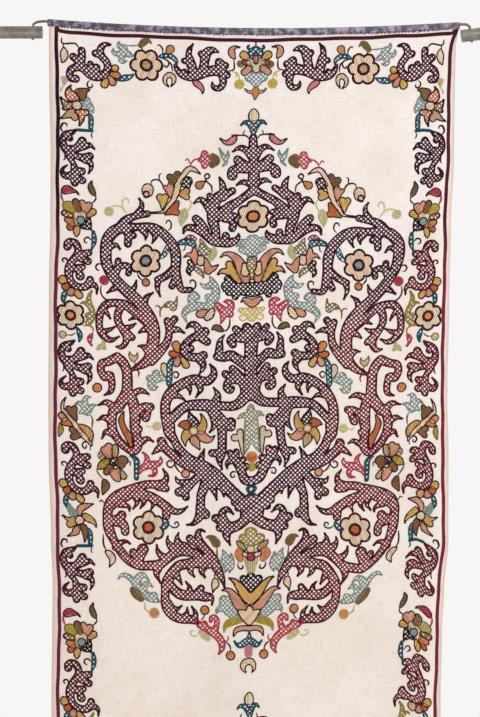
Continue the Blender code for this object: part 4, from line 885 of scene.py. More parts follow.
# top and bottom border: leaf, buds and the second branch
net("top", [[(160, 57.2, 1.4), (164, 56, 2.6), (169, 56, 2.5), (173.4, 58.4, 2.4), (176.4, 62, 1.6), (176.2, 65, 0.5)]], thread="teal")
tendril("umber", [(157.6, 46), (159.6, 45.3), (162.7, 48.8), (163, 53.4)], "top")
work("orange", "satin", [[(168, 53.8, 1.8), (170.4, 49.8, 4.3)]], "top", 60, "teal")
tendril("umber", [(162.6, 58.8), (167, 60.6), (168.8, 64), (166.6, 67.4), (164.2, 66.4), (164.8, 64.8)], "top")
tendril("umber", [(167.4, 61), (171, 65), (172, 72)], "top")
work("peach", "satin", [[(168, 87, 0.4), (164.8, 83.4, 1.7), (164.4, 78.6, 2.4), (168.6, 75.4, 2.8), (172.8, 77.8, 2.5), (173, 82.8, 1.8),
                         (170.4, 87, 0.4)]], "top", 90)
net("top", [
    [(175, 65.6, 1.6), (176.8, 70.4, 2.8), (181, 75, 3.6), (187, 77.4, 4), (193, 76.6, 4.8), (199.6, 74, 5.2), (206, 71.8, 5),
     (213, 70.4, 5.2), (220, 69.4, 6), (220, 64, 5)],
    [(183.8, 72.4, 3), (186, 77, 3.4)], [(193, 73, 4.6), (191, 65.6, 4.8), (190, 60.6, 4.2), (188.8, 55.4, 3), (189.6, 50.4, 2.6),
                                         (191.6, 47, 1.2), (193.2, 44.6, 0.3)],
    [(184, 61.6, 2.9), (189, 62, 3.6)], [(202.6, 71, 5), (204.2, 63, 4.4), (205.2, 57, 4.8), (207.6, 51.8, 4.4), (212, 50, 3.4),
                                         (215.6, 50.6, 2), (219, 52.4, 0.3)],
    [(201.4, 54, 3.4), (204, 57, 4)], [(218.9, 61.8, 4), (220, 68, 5)], [(225, 65.4, 3.5), (221, 68, 4)], [(226.2, 74.8, 3.7), (221, 72, 4)],
    [(219, 70, 4), (221.8, 77, 3.8), (222.4, 83.2, 3.5), (219.4, 87.8, 3.2), (214.8, 88, 2.7), (212, 85.2, 1.8), (211.6, 82.2, 0.4)],
])
work("pink", "satin", [[(193.2, 82, 1.6), (196.4, 84, 3.4), (200, 86.6, 2.8), (202.4, 90.4, 1.6), (202.2, 93.8, 0.4)]], "top", 60)
work("salmon", "satin", [[(240, 47.6, 0.3), (235.6, 46.8, 1.3), (231.8, 49.6, 3), (231.8, 54, 3.4), (234.4, 58.4, 1.2)]], "top", 60)
tendril("umber", [(233.7, 59.8), (233.8, 68), (231.3, 70.5), (227.8, 70.7)], "top")
ball("yellow", 238.8, 84.2, 4.5, "top", "yellow")
tendril("yellow", [(232, 71.8), (236.1, 72.9), (238.2, 76.3), (238.8, 79.1)], "top")
tendril("yellow", [(235.4, 73.6), (235.6, 77.8)], "top")
# middle of the top and bottom border: crowned flower, net lobes and a little tulip
tendril("umber", [(255.5, 38.6), (255.5, 46)], "topCentre")
net("topCentre", [
    [(248.9, 45.2, 0.3), (247.2, 46.8, 0.8), (248.4, 48.6, 1), (251.6, 50, 2)], [(255.5, 48.4, 3), (252.6, 51, 3.6), (250, 53.6, 2.8)],
], thread="teal")
work("gold", "satin", [[(243.8, 55, 4.4), (247.4, 58, 3.2)]], "topCentre", 60)
work("brown", "satin", [[(244.7, 62.2, 3.2), (248, 62.4, 2.8)]], "topCentre", 90)
ball("olive", 240.3, 63.8, 3.2, "topCentre", "brown")
work("salmon", "satin", [[(243.6, 72.2, 3.4), (249, 67.8, 3.7)]], "topCentre", 45)
net("topCentre", [[(248.8, 77, 4.8), (255.5, 75.4, 4.1)], [(255.5, 76, 4.1), (255.5, 81, 5.4)]], thread="greyGreen")
work("cream", "satin", [[(250, 61.8, 4.6)], [(255.5, 67.6, 4.8)]], "topCentre", 20)
work("pink", "satin", [[(255.5, 57.4, 2.8), (255.5, 59.8, 3.6), (255.5, 63.6, 0.8)]], "topCentre", 90)
work("orange", "satin", [[(255.5, 89.6, 3.2), (255.5, 92.4, 3.6), (255.5, 98.8, 0.5)],
                         [(244.8, 88.6, 0.3), (248.2, 91.4, 1.3), (252.4, 91.6, 2)]], "topCentre", 90, "brown")


# Hanging the stitches on the cloth
parts = ("points", "sides", "ridge", "edge", "strand")


def placements(motif):  # (mirror, flip end to end, shift down in mm) for each copy of a motif
    square, repeat = chart["square"], chart["repeat"]
    if motif["where"] == "side":
        return [(side, False, turn * repeat * square) for side in (1, -1) for turn in (0, 1)]
    if motif["where"] == "centre":
        return [(1, False, turn * repeat * square) for turn in (0, 1)]
    if motif["where"] == "border":
        return [(side, False, shift * square) for side in (1, -1) for shift in motif["at"]]
    if motif["where"] == "top":
        return [(side, end, 0.0) for side in (1, -1) for end in (False, True)]
    return [(1, False, 0.0), (1, True, 0.0)]  # the middle of the top border, and of the bottom one


def gather():
    # Works every motif once, then copies its threads to each place, sorted by colour and stitch.
    groups = {}
    for motif in motifs:
        inset = motif["cordWidth"] * {"satin": 0.2, "net": 0.28, "line": 0}[motif["fill"]]
        curves = [brush(points, inset) for points in motif["strokes"]]
        if motif["where"] in ("centre", "topCentre"):
            curves += [mirrored(curve) for curve in curves]  # both halves worked as one shape
        if motif["fill"] == "line":
            made = [("Cord", motif["cord"], lineRibs(curve, stitch["lineWidth"], 0.55)) for curve in curves]
        else:
            worked = fieldOf(curves)
            made = [("Cord", motif["cord"], outlineRibs(worked, motif["cordWidth"], stitch["cordHeight"]))]
            if motif["fill"] == "net":
                width = stitch["fineNet" if motif["thread"] in fineSilks else "netThread"]
                made += [("Net", motif["thread"], threads) for threads in netRibs(worked, width)]
            if motif["fill"] == "satin":
                made.append(("Satin", motif["thread"], satinRibs(worked, motif["angle"], 0.28 * motif["cordWidth"])))
        for kind, colour, threads in made:
            threads = {**threads, "ridge": threads["ridge"] + motif["over"], "edge": threads["edge"] + motif["over"]}
            for side, flip, shift in placements(motif):
                turn = np.array([side, -1.0 if flip else 1.0])
                move = (0.0, cloth["length"] * 1000 * flip + shift)
                place = threads["points"] * turn + move
                if motif["whole"]:  # slips without losing its shape
                    middle = np.mean([curve[:, :2].mean(axis=0) for curve in curves], axis=0, keepdims=True) * turn + move
                    place += slipped(middle) - middle
                else:
                    place = slipped(place)
                lower = place[:, 1].mean() > cloth["length"] * 500
                half = ("Upper", "Lower")[int(lower)] if "lum" in colour else ""
                copied = {**threads, "points": place, "sides": threads["sides"] * turn}
                groups.setdefault((colour, kind, half), []).append(copied)
    return groups


def joined(group):  # one set of ribs from many
    counts = np.cumsum([0] + [len(threads["points"]) for threads in group])
    whole = {name: np.concatenate([threads[name] for threads in group]) for name in parts}
    whole["pairs"] = np.concatenate([threads["pairs"] + start for threads, start in zip(group, counts)])
    return whole


# The right half is no true mirror image. Down, then how far the work at four places across, in
# squares right of the centre line, has slipped to the right and down.
slipAcross = (0, 18, 68, 113, 168, 190)
slipTable = (
    (36, (0, 0), (0, 0), (0, 0), (0, 0)),
    (48, (1, -1), (3, -2), (2, 2), (2, -3)),
    (140, (0, -1), (3, 2), (2, 2), (3, -2)),
    (230, (1, -4), (1, 0), (3, 3), (3, -1)),
    (290, (-1, -3), (1, 1), (3, 2), (2, -3)),
    (350, (-3, -3), (-3, -2), (-1, 3), (1, -3)),
    (410, (-2, -4), (-2, -3), (0, 3), (2, -5)),
    (470, (4, -4), (3, -2), (4, 0), (2, -9)),
    (540, (5, -2), (3, -1), (4, 1), (1, -8)),
    (590, (1, -2), (2, -2), (2, 1), (1, -14)),
    (625, (-2, -2), (1, -2), (1, 0), (0, -15)),
    (680, (-4, -2), (0, -2), (0, 0), (0, -15)),
    (1000, (0, 0), (0, 0), (0, 0), (0, 0)),
)


def slipped(points):  # each column of the table eased down the cloth, then read straight across it
    across = points[:, 0] / chart["square"]
    down = points[:, 1] / chart["square"] + chart["origin"][1]
    moved = []
    for way in (0, 1):
        rows = np.array([(row[0], 0, *(place[way] for place in row[1:]), 0) for row in slipTable], float)
        columns = np.stack([tableAt(rows, 1 + k, down) for k in range(len(slipAcross))])
        k = np.clip(np.searchsorted(slipAcross, across, side="right") - 1, 0, len(slipAcross) - 2)
        start, end = np.take(slipAcross, k), np.take(slipAcross, k + 1)
        share = np.clip((across - start) / (end - start), 0.0, 1.0)
        order = np.arange(len(points))
        moved.append(columns[k, order] * (1 - share) + columns[k + 1, order] * share)
    return points + np.column_stack(moved) * chart["square"]


def handWobble(points):  # needlework is never quite true: two slow waves, under a millimetre
    u, v = points[:, 0], points[:, 1]
    return points + np.column_stack([0.55 * np.sin(v * 0.043 + u * 0.011) + 0.3 * np.sin(v * 0.13 + 1.0),
                                     0.55 * np.sin(u * 0.037 + 2.0) + 0.3 * np.sin(u * 0.11 + v * 0.02)])


def threadFaces(threads):
    # Every point becomes three vertices, left foot, ridge and right foot, and every pair two quads.
    points, sides = handWobble(threads["points"]), threads["sides"]
    flat = np.stack([points - sides, points, points + sides], axis=1).reshape(-1, 2)
    lift = np.stack([threads["edge"], threads["ridge"], threads["edge"]], axis=1).ravel()
    first, second = threads["pairs"][:, 0] * 3, threads["pairs"][:, 1] * 3
    run, side = flat[second + 1] - flat[first + 1], flat[first + 2] - flat[first + 1]
    turned = run[:, 0] * side[:, 1] - run[:, 1] * side[:, 0] < 0
    first, second = np.where(turned, second, first), np.where(turned, first, second)
    quads = np.concatenate([np.stack([first + k, first + k + 1, second + k + 1, second + k], axis=1) for k in (0, 1)])
    return flat, lift, quads

# Finishes
silkColours = {  # embroidery silks, sRGB
    "plum": "#3e102b", "darkPlum": "#280a18", "umber": "#36141a", "red": "#a23a48", "teal": "#184652", "greyGreen": "#758580",
    "sage": "#7c8368", "olive": "#6c5a32", "cream": "#d4c0a2", "peach": "#dabd9f", "orange": "#c6804c", "salmon": "#c88f74",
    "gold": "#c69d58", "rust": "#b26038", "brown": "#7a5a38", "yellowGreen": "#a68f3a", "pink": "#c2787e",
    "straw": "#c0b684", "tan": "#b39470", "greyTeal": "#7e8e8b", "black": "#1f1216", "leafStraw": "#b2ac7e",
    "yellow": "#bda84c", "oliveGold": "#877433",
}
dye = {"aged": "#7a2431", "darkAged": "#4a131a", "plaitAged": "#7c2640"}  # the plum dye has turned crimson in places


def linear(code):  # an sRGB hex colour as linear red, green, blue and alpha
    value = np.array([int(code[place:place + 2], 16) for place in (1, 3, 5)]) / 255
    value = np.where(value <= 0.04045, value / 12.92, ((value + 0.055) / 1.055) ** 2.4)
    return (*value.tolist(), 1.0)


def addNode(tree, kind, sockets=(), stops=(), **settings):
    # Adds a node. Settings are its own properties, sockets its values or the outputs linked to them.
    made = tree.nodes.new("ShaderNode" + kind)
    for name, value in settings.items():
        setattr(made, name, value)
    for name, value in dict(sockets).items():
        if isinstance(value, bpy.types.NodeSocket):
            tree.links.new(value, made.inputs[name])
        else:
            made.inputs[name].default_value = value
    for spare in range(len(stops) - 2):
        made.color_ramp.elements.new(0.5)
    for element, (place, colour) in zip(made.color_ramp.elements if stops else (), stops):
        element.position, element.color = place, colour
    return made


def newMaterial(name):
    made = bpy.data.materials.new(name)
    made.use_nodes = True
    made.node_tree.nodes.clear()
    return made, made.node_tree


def finishWith(tree, **sockets):  # the shader and the output; constants are set on its own sockets
    shader = addNode(tree, "BsdfPrincipled", {name.replace("_", " "): value for name, value in sockets.items()})
    addNode(tree, "OutputMaterial", {"Surface": shader.outputs[0]})


def mixed(tree, share, first, second, blend="MIX"):
    made = addNode(tree, "Mix", data_type="RGBA", blend_type=blend)
    for socket, value in ((made.inputs[0], share), (made.inputs[6], first), (made.inputs[7], second)):
        if isinstance(value, bpy.types.NodeSocket):
            tree.links.new(value, socket)
        else:
            socket.default_value = value
    return made.outputs[2]


def wovenLinen():
    # Hand-woven linen, washed and aged: a matt cream cloth whose uneven threads show as fine slubs,
    # a little yellower lower down, darker and browner within a few millimetres of its hems, with a painted
    # shade line along each hem's fold. Real threads lie 0.6 mm apart; they are drawn 1.2 mm apart so that they show.
    weave = {"pitch": 0.0012, "slubLong": 0.014, "slubWide": 0.0014, "stain": 0.09}
    made, tree = newMaterial("wovenLinen")
    uv = addNode(tree, "UVMap", uv_map="flat").outputs[0]
    size = (2 * cloth["halfWidth"], cloth["length"], 1.0)
    flat = addNode(tree, "VectorMath", {0: uv, 1: size}, operation="MULTIPLY").outputs[0]
    threads, slubs = [], []
    for axis, long in (("X", (1 / weave["slubWide"], 1 / weave["slubLong"], 1.0)),
                       ("Y", (1 / weave["slubLong"], 1 / weave["slubWide"], 1.0))):
        threads.append(addNode(tree, "TexWave", {"Vector": flat, "Scale": 0.314 / weave["pitch"], "Distortion": 2.2,
                                                 "Detail": 2.0, "Detail Scale": 3.0},
                               bands_direction=axis).outputs["Fac"])
        stretched = addNode(tree, "Mapping", {"Vector": flat, "Scale": long}).outputs[0]
        slubs.append(addNode(tree, "TexNoise", {"Vector": stretched, "Scale": 1.0, "Detail": 3.0}).outputs["Fac"])
    crossing = addNode(tree, "Math", {0: threads[0], 1: threads[1]}, operation="MAXIMUM").outputs[0]
    slub = addNode(tree, "Math", {0: slubs[0], 1: slubs[1]}, operation="ADD").outputs[0]
    stain = addNode(tree, "TexNoise", {"Vector": flat, "Scale": 1 / weave["stain"], "Detail": 4.0,
                                       "Roughness": 0.6}).outputs["Fac"]
    fall = addNode(tree, "SeparateXYZ", {0: uv})
    aged = addNode(tree, "ValToRGB", {0: fall.outputs["Y"]}, stops=[
        (0.0, linear("#ebe6e2")), (0.25, linear("#ebe5e0")), (0.55, linear("#eae2d9")), (1.0, linear("#e8dfd3"))])
    fibre = addNode(tree, "ValToRGB", {0: addNode(tree, "Math", {0: slub, 1: 0.5}, operation="MULTIPLY").outputs[0]},
                    stops=[(0.36, linear("#f0ebe7")), (0.5, linear("#faf8f7")), (0.66, linear("#ffffff"))])
    cover = addNode(tree, "ValToRGB", {0: crossing}, stops=[(0.1, linear("#f4f1ee")), (0.8, linear("#ffffff"))])
    marked = addNode(tree, "ValToRGB", {0: stain}, stops=[(0.4, linear("#ffffff")), (0.72, linear("#f5eee4"))])
    colour = mixed(tree, 1.0, aged.outputs[0], fibre.outputs[0], "MULTIPLY")
    colour = mixed(tree, 1.0, colour, cover.outputs[0], "MULTIPLY")
    colour = mixed(tree, 0.8, colour, marked.outputs[0], "MULTIPLY")
    # edge number: darker and browner near the hems, plus painted shade along each hem's fold
    edge = addNode(tree, "Attribute", attribute_name="edge").outputs["Fac"]
    colour = mixed(tree, edge, colour, linear("#c9a993"))
    height = addNode(tree, "Math", {0: crossing, 1: slub}, operation="ADD").outputs[0]
    bump = addNode(tree, "Bump", {"Height": height, "Strength": 0.28, "Distance": 0.0005}).outputs[0]
    finishWith(tree, Base_Color=colour, Roughness=0.92, Specular_IOR_Level=0.2, Sheen_Weight=0.12, Normal=bump)
    return made


def cottonTape():
    # Woven cotton heading tape, faded from purple to a greyed lilac: matt, with a fine rib along it.
    ribPitch = 0.0011
    made, tree = newMaterial("cottonTape")
    uv = addNode(tree, "UVMap", uv_map="flat").outputs[0]
    sized = addNode(tree, "Mapping", {"Vector": uv, "Scale": (0.4674, 0.0218, 1.0)}).outputs[0]
    rib = addNode(tree, "TexWave", {"Vector": sized, "Scale": 0.314 / ribPitch, "Distortion": 1.2},
                  bands_direction="X").outputs["Fac"]
    fade = addNode(tree, "TexNoise", {"Vector": sized, "Scale": 150.0, "Detail": 4.0}).outputs["Fac"]
    colour = addNode(tree, "ValToRGB", {0: fade}, stops=[
        (0.40, linear("#3f3643")), (0.5, linear("#746a79")), (0.60, linear("#b2a9bb"))]).outputs[0]
    colour = mixed(tree, 0.3, colour, addNode(tree, "ValToRGB", {0: rib}, stops=[
        (0.2, linear("#5b5160")), (0.8, linear("#9d94a4"))]).outputs[0])
    # painted shade along the top of its fold and towards its left end, where less light falls; darker in speckles along
    # its lower front edge
    place = addNode(tree, "SeparateXYZ", {0: uv})
    rims = addNode(tree, "ValToRGB", {0: place.outputs["Y"]}, stops=[
        (0.56, linear("#000000")), (0.61, linear("#c0c0c0")), (0.70, linear("#000000")),
        (0.88, linear("#000000")), (1.0, linear("#d0d0d0"))]).outputs[0]
    speckle = addNode(tree, "TexNoise", {"Vector": sized, "Scale": 330.0, "Detail": 2.0}).outputs["Fac"]
    # painted shade in speckles along the fold's top; the same speckled darkening along the lower front edge
    foldShadeAndEdgeDark = addNode(tree, "Math", {0: rims, 1: addNode(tree, "MapRange", {
        "Value": speckle, "From Min": 0.35, "From Max": 0.6}).outputs[0]}, operation="MULTIPLY").outputs[0]
    colour = mixed(tree, foldShadeAndEdgeDark, colour, linear("#332c38"))
    # painted shade: the tape darkened towards its left end, away from the light
    left = addNode(tree, "MapRange", {"Value": place.outputs["X"], "From Min": 0.1, "From Max": 0.8,
                                      "To Min": 0.45, "To Max": 0.0}).outputs[0]
    colour = mixed(tree, left, colour, mixed(tree, 1.0, colour, linear("#b4abb4"), "MULTIPLY"))
    bump = addNode(tree, "Bump", {"Height": rib, "Strength": 0.5, "Distance": 0.0003}).outputs[0]
    finishWith(tree, Base_Color=colour, Roughness=0.9, Specular_IOR_Level=0.2, Sheen_Weight=0.2, Normal=bump)
    return made


def metal(name, dark, light, roughness, grain, metallic=1.0):
    # Shared by the two metals: tarnish in soft patches and fine marks along the length, in their colour
    # and roughness.
    made, tree = newMaterial(name)
    place = addNode(tree, "TexCoord").outputs["Object"]
    patches = addNode(tree, "TexNoise", {"Vector": place, "Scale": 90.0, "Detail": 5.0}).outputs["Fac"]
    stretched = addNode(tree, "Mapping", {"Vector": place, "Scale": grain}).outputs[0]
    marks = addNode(tree, "TexNoise", {"Vector": stretched, "Scale": 1.0, "Detail": 2.0}).outputs["Fac"]
    both = addNode(tree, "Math", {0: patches, 1: marks, 2: 0.0}, operation="ADD").outputs[0]
    both = addNode(tree, "Math", {0: both, 1: 0.5}, operation="MULTIPLY").outputs[0]
    colour = addNode(tree, "ValToRGB", {0: both}, stops=[(0.38, linear(dark)), (0.62, linear(light))]).outputs[0]
    rough = addNode(tree, "MapRange", {"Value": both, "From Min": 0.3, "From Max": 0.7,
                                       "To Min": roughness + 0.1, "To Max": roughness - 0.06}).outputs[0]
    bump = addNode(tree, "Bump", {"Height": marks, "Strength": 0.12, "Distance": 0.0002}).outputs[0]
    finishWith(tree, Base_Color=colour, Roughness=rough, Metallic=metallic, Normal=bump)
    return made


def silk(name, code, aged=None):
    # Stranded silk floss, hand dyed: every strand a little lighter or darker than the next, with painted
    # shade at each thread's feet where it enters the cloth and a painted highlight along its ridge.
    # Floss fibres are far too fine to show, so they are drawn 0.5 mm apart.
    made, tree = newMaterial(name)
    place = addNode(tree, "TexCoord").outputs["Object"]
    strand = addNode(tree, "Attribute", attribute_name="strand").outputs["Fac"]
    ridge = addNode(tree, "Attribute", attribute_name="ridge").outputs["Fac"]
    fibres = addNode(tree, "TexNoise", {"Vector": place, "Scale": 900.0, "Detail": 2.0}).outputs["Fac"]
    patches = addNode(tree, "TexNoise", {"Vector": place, "Scale": 55.0, "Detail": 3.0}).outputs["Fac"]
    base = linear(code)
    if aged:
        share = addNode(tree, "Attribute", attribute_name="dye").outputs["Fac"]
        base = mixed(tree, share, base, linear(aged))
    tone = addNode(tree, "Math", {0: strand, 1: 0.55, 2: fibres}, operation="MULTIPLY_ADD").outputs[0]
    tone = addNode(tree, "Math", {0: patches, 1: 0.5, 2: tone}, operation="MULTIPLY_ADD").outputs[0]
    lifted = addNode(tree, "MapRange", {"Value": tone, "From Min": 0.5, "From Max": 1.5, "To Min": 0.66,
                                        "To Max": 1.3}).outputs[0]
    # painted shade at each thread's feet (0.4) and painted highlight along its ridge (1.2)
    foot = addNode(tree, "MapRange", {"Value": ridge, "From Min": 0.0, "From Max": 1.0, "To Min": 0.4,
                                      "To Max": 1.2}).outputs[0]
    both = addNode(tree, "Math", {0: lifted, 1: foot}, operation="MULTIPLY").outputs[0]
    scaled = addNode(tree, "VectorMath", {0: base if aged else base[:3], "Scale": both}, operation="SCALE")
    bump = addNode(tree, "Bump", {"Height": fibres, "Strength": 0.35, "Distance": 0.0004}).outputs[0]
    finishWith(tree, Base_Color=scaled.outputs[0], Roughness=0.6, Specular_IOR_Level=0.08, Normal=bump)
    return made


# The pieces
def meshPiece(name, vertices, faces, material, body="root"):
    mesh = bpy.data.meshes.new(name)
    mesh.from_pydata(vertices.tolist(), [], faces.tolist())
    mesh.shade_smooth()
    mesh.materials.append(material)
    piece = bpy.data.objects.new(name, mesh)
    bpy.context.scene.collection.objects.link(piece)
    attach(piece, body)
    return piece


def addNumbers(piece, name, values):  # a number for each vertex, for the material to read
    piece.data.attributes.new(name, "FLOAT", "POINT").data.foreach_set("value", np.asarray(values, np.float32))


def closedSheet(name, front, back, uv, material):
    # A front and a back grid of points whose rims are one line, so that the sheet is closed.
    rows, columns = front.shape[:2]
    ids = np.arange(rows * columns).reshape(rows, columns)
    behind = ids.copy()
    behind[1:-1, 1:-1] = rows * columns + np.arange((rows - 2) * (columns - 2)).reshape(rows - 2, columns - 2)
    faces = [np.stack([grid[:-1, :-1], grid[1:, :-1], grid[1:, 1:], grid[:-1, 1:]], axis=-1).reshape(-1, 4)
             for grid in (ids, behind)]
    faces[1] = faces[1][:, ::-1]
    vertices = np.concatenate([front.reshape(-1, 3), back[1:-1, 1:-1].reshape(-1, 3)])
    piece = meshPiece(name, vertices, np.concatenate(faces), material)
    flat = np.concatenate([uv.reshape(-1, 2), uv[1:-1, 1:-1].reshape(-1, 2)])
    corners = np.empty(len(piece.data.loops), np.int32)
    piece.data.loops.foreach_get("vertex_index", corners)
    piece.data.uv_layers.new(name="flat").data.foreach_set("uv", flat[corners].astype(np.float32).ravel())
    return piece


def rimmed(length, count, rim=0.0011):  # positions along a side, closer together at its two rounded edges
    near = rim * (1.0 - np.cos(np.linspace(0.0, math.pi / 2, 4)[:-1]))
    return np.concatenate([near, np.linspace(rim, length - rim, count), length - near[::-1]])


def linenPanel():
    # The hung middle surface, moved half the cloth's thickness each way; the thickness falls to
    # nothing along a quarter circle at the rim, and grows behind the hems.
    columns, rows, rim = 92, 300, 0.0011
    across, down = rimmed(2 * cloth["halfWidth"], columns), rimmed(cloth["length"], rows)
    u, v = np.meshgrid(across - cloth["halfWidth"], down)
    toRim = np.minimum(np.minimum(u - u.min(), u.max() - u), np.minimum(v, cloth["length"] - v))
    toHem = np.minimum(np.minimum(u - u.min(), u.max() - u), cloth["length"] - v)
    rounded = np.sqrt(np.clip(1.0 - (1.0 - np.clip(toRim / rim, 0.0, 1.0)) ** 2, 0.0, 1.0))
    hem = easeIn((cloth["hemWidth"] + 0.0012 - toHem) / 0.0024) * easeIn((v - cloth["flatUntil"]) / cloth["hemWidth"])
    dimple = 0.00022 * np.exp(-((toHem - cloth["hemWidth"]) / 0.0012) ** 2)
    half = cloth["thickness"] / 2
    front = hang(u, v, (half - dimple) * rounded)
    back = hang(u, v, -(half + cloth["hemTurn"] * hem) * rounded)
    uv = np.stack([u / (2 * cloth["halfWidth"]) + 0.5, v / cloth["length"]], axis=-1)
    piece = closedSheet("linenCloth", front, back, uv, wovenLinen())
    # darker strip within 6 mm of the hems, and a painted shade line along each hem's fold
    edge = np.clip(1.0 - toHem / 0.006, 0.0, 1.0) * 0.85 + 0.25 * np.exp(-((toHem - cloth["hemWidth"]) / 0.0012) ** 2)
    addNumbers(piece, "edge", np.concatenate([edge.ravel(), edge[1:-1, 1:-1].ravel()]))
    return piece


tape = {
    "thickness": 0.0009, "bendRadius": 0.00245, "legOut": 0.0015, "frontDrop": 0.0051, "backDrop": 0.0090,
    "columns": 300, "arcRows": 15, "legRows": 7, "pucker": 0.00025,
}


def headingTape():
    # A section carried along the wire: up the back leg, over the wire on a circle, down the front leg.
    reach, leg = tape["bendRadius"], tape["legOut"]
    throat = -math.acos(leg / reach)
    arc = np.linspace(throat, math.pi - throat, tape["arcRows"])
    over = np.column_stack([reach * np.cos(arc), reach * np.sin(arc)])
    backLeg = np.column_stack([np.full(tape["legRows"], leg), np.linspace(-tape["backDrop"], over[0, 1] - 0.0008,
                                                                         tape["legRows"])])
    frontLeg = np.column_stack([np.full(tape["legRows"], -leg), np.linspace(over[-1, 1] - 0.0008, -tape["frontDrop"],
                                                                           tape["legRows"])])
    section = np.vstack([backLeg, over, frontLeg])
    run = np.gradient(section, axis=0)
    run /= np.linalg.norm(run, axis=1, keepdims=True)
    outward = np.column_stack([run[:, 1], -run[:, 0]])
    length = np.concatenate([[0.0], np.cumsum(np.linalg.norm(np.diff(section, axis=0), axis=1))])
    x = np.linspace(wire["left"][0], wire["right"][0], tape["columns"])
    rise = wireHeight(x)
    half = tape["thickness"] / 2 * np.ones((len(section), len(x)))
    half[[0, -1]] = 0.0
    half[:, [0, -1]] = 0.0
    ripple = tape["pucker"] * np.sin(x * 620.0 + 1.5 * np.sin(x * 97.0))[None, :] * np.linspace(-1, 1, len(section))[:, None] ** 2
    # the back leg is cut shorter at the tape's two ends
    toEnd = easeIn(np.minimum(x - x[0], x[-1] - x) / 0.009)
    fall = np.minimum(section[:, 1:] + tape["frontDrop"], 0.0) * (toEnd - 1.0)
    waver = 0.00035 * np.sin(x * 410.0 + 2.0 * np.sin(x * 133.0)) + 0.0002 * np.sin(x * 1270.0)
    fall = fall + waver * easeIn(np.linspace(-2.0, 1.0, len(section)))[:, None]
    grids = []
    for sign in (1.0, -1.0):
        lift = half * sign + np.maximum(ripple, 0.0) * (half > 0)
        y = section[:, :1] + outward[:, :1] * lift
        z = section[:, 1:] + outward[:, 1:] * lift + rise + fall
        grids.append(np.stack([np.broadcast_to(x, y.shape), y, z], axis=-1))
    uv = np.stack(np.meshgrid((x - x[0]) / (x[-1] - x[0]), length / length[-1]), axis=-1)
    return closedSheet("headingTapeCloth", grids[0], grids[1], uv, cottonTape())


def dyeAt(flat):
    # How far the plum silk has turned crimson: least in the upper part and about the centre line of
    # each medallion, most low down and to the sides.
    across, down = np.abs(flat[:, 0]) / chart["square"], flat[:, 1] / chart["square"] + chart["origin"][1]
    inRepeat = (down - 95.0) % chart["repeat"] + 95.0
    outer = 0.08 + 0.72 * easeIn((inRepeat - 270.0) / 90.0)
    inner = 0.10 + 0.35 * easeIn((inRepeat - 500.0) / 70.0)
    share = inner + (outer - inner) * easeIn((across - 62.0) / 40.0)
    border = np.where(flat[:, 0] < 0.0, 0.25, 0.7) * easeIn((down - 200.0) / 90.0)
    return np.where(down < 95.0, 0.1, np.where(across > 155.0, border, share))


def plaitDyeAt(flat):  # the plait has faded more: all along the top, down the right and lower left
    down = flat[:, 1] / chart["square"] + chart["origin"][1]
    side = np.where(flat[:, 0] < 0.0, 0.05 + 0.7 * easeIn((down - 210.0) / 60.0), 0.3 + 0.5 * easeIn((down - 220.0) / 60.0))
    return np.where(down < 42.0, 0.22, side)


def stitchPiece(name, threads, material, dyeing=dyeAt):
    flat, lift, quads = threadFaces(threads)
    place = hang(flat[:, 0] / 1000, flat[:, 1] / 1000, cloth["thickness"] / 2 + lift / 1000)
    piece = meshPiece(name, place, quads, material)
    addNumbers(piece, "strand", np.repeat(threads["strand"], 3))
    # the ridge number drives the silk's painted shade at the feet and painted highlight on the ridge
    addNumbers(piece, "ridge", np.tile([0.0, 1.0, 0.0], len(threads["points"])))
    addNumbers(piece, "dye", dyeing(flat))
    return piece


def edgePlait():
    # Three strands that swing across a rectangle just inside the cloth's edges, a third of a swing
    # apart: offset = swing sin(turn), lift = middle + rise cos(2 turn).
    plait = {"inset": 8.3, "insetRight": 6.6, "top": 8.5, "pitch": 7.0, "swing": 1.6, "width": 2.0, "samples": 6}
    edge, foot = cloth["halfWidth"] * 1000, cloth["length"] * 1000 - plait["inset"]
    left, right, top = plait["inset"] - edge, edge - plait["insetRight"], plait["top"]
    corners = np.array([(left, 0.35 * top), (left + 3.0, 0.8 * top), (left + 14.0, top - 0.8), (0.0, top),
                        (0.45 * edge, top - 0.6), (0.7 * edge, top - 2.0), (edge - 7.0, top - 0.6),
                        (edge - 2.0, 0.35 * top), (edge - 4.2, 1.5 * top), (right + 0.6, 3.6 * top),
                        (right - 0.8, 12.0 * top), (right, 40.0 * top),
                        (right, foot), (left, foot), (left, 40.0 * top), (left + 0.8, 4.0 * top)])
    runs = np.roll(corners, -1, axis=0) - corners
    lengths = np.hypot(runs[:, 0], runs[:, 1])
    count = int(lengths.sum() / plait["pitch"]) * plait["samples"]
    along = np.arange(count) * lengths.sum() / count
    starts = np.concatenate([[0.0], np.cumsum(lengths)])
    side = np.searchsorted(starts, along, side="right") - 1
    heading = runs / lengths[:, None]
    place = corners[side] + heading[side] * (along - starts[side])[:, None]
    sideways = np.column_stack([-heading[side][:, 1], heading[side][:, 0]])
    order = np.arange(count)
    strands = []
    for strand in range(3):
        turn = 2 * math.pi * (order / plait["samples"] + strand / 3)
        middle = place + sideways * (plait["swing"] * np.sin(turn))[:, None]
        run = np.roll(middle, -1, axis=0) - np.roll(middle, 1, axis=0)
        run /= np.linalg.norm(run, axis=1, keepdims=True)
        across = np.column_stack([-run[:, 1], run[:, 0]]) * plait["width"] / 2
        strands.append(ribs(middle, across, 0.85 + 0.35 * np.cos(2 * turn), -0.1, 0.5 + 0.5 * np.sin(turn),
                            np.column_stack([order, np.roll(order, -1)])))
    return joined(strands)


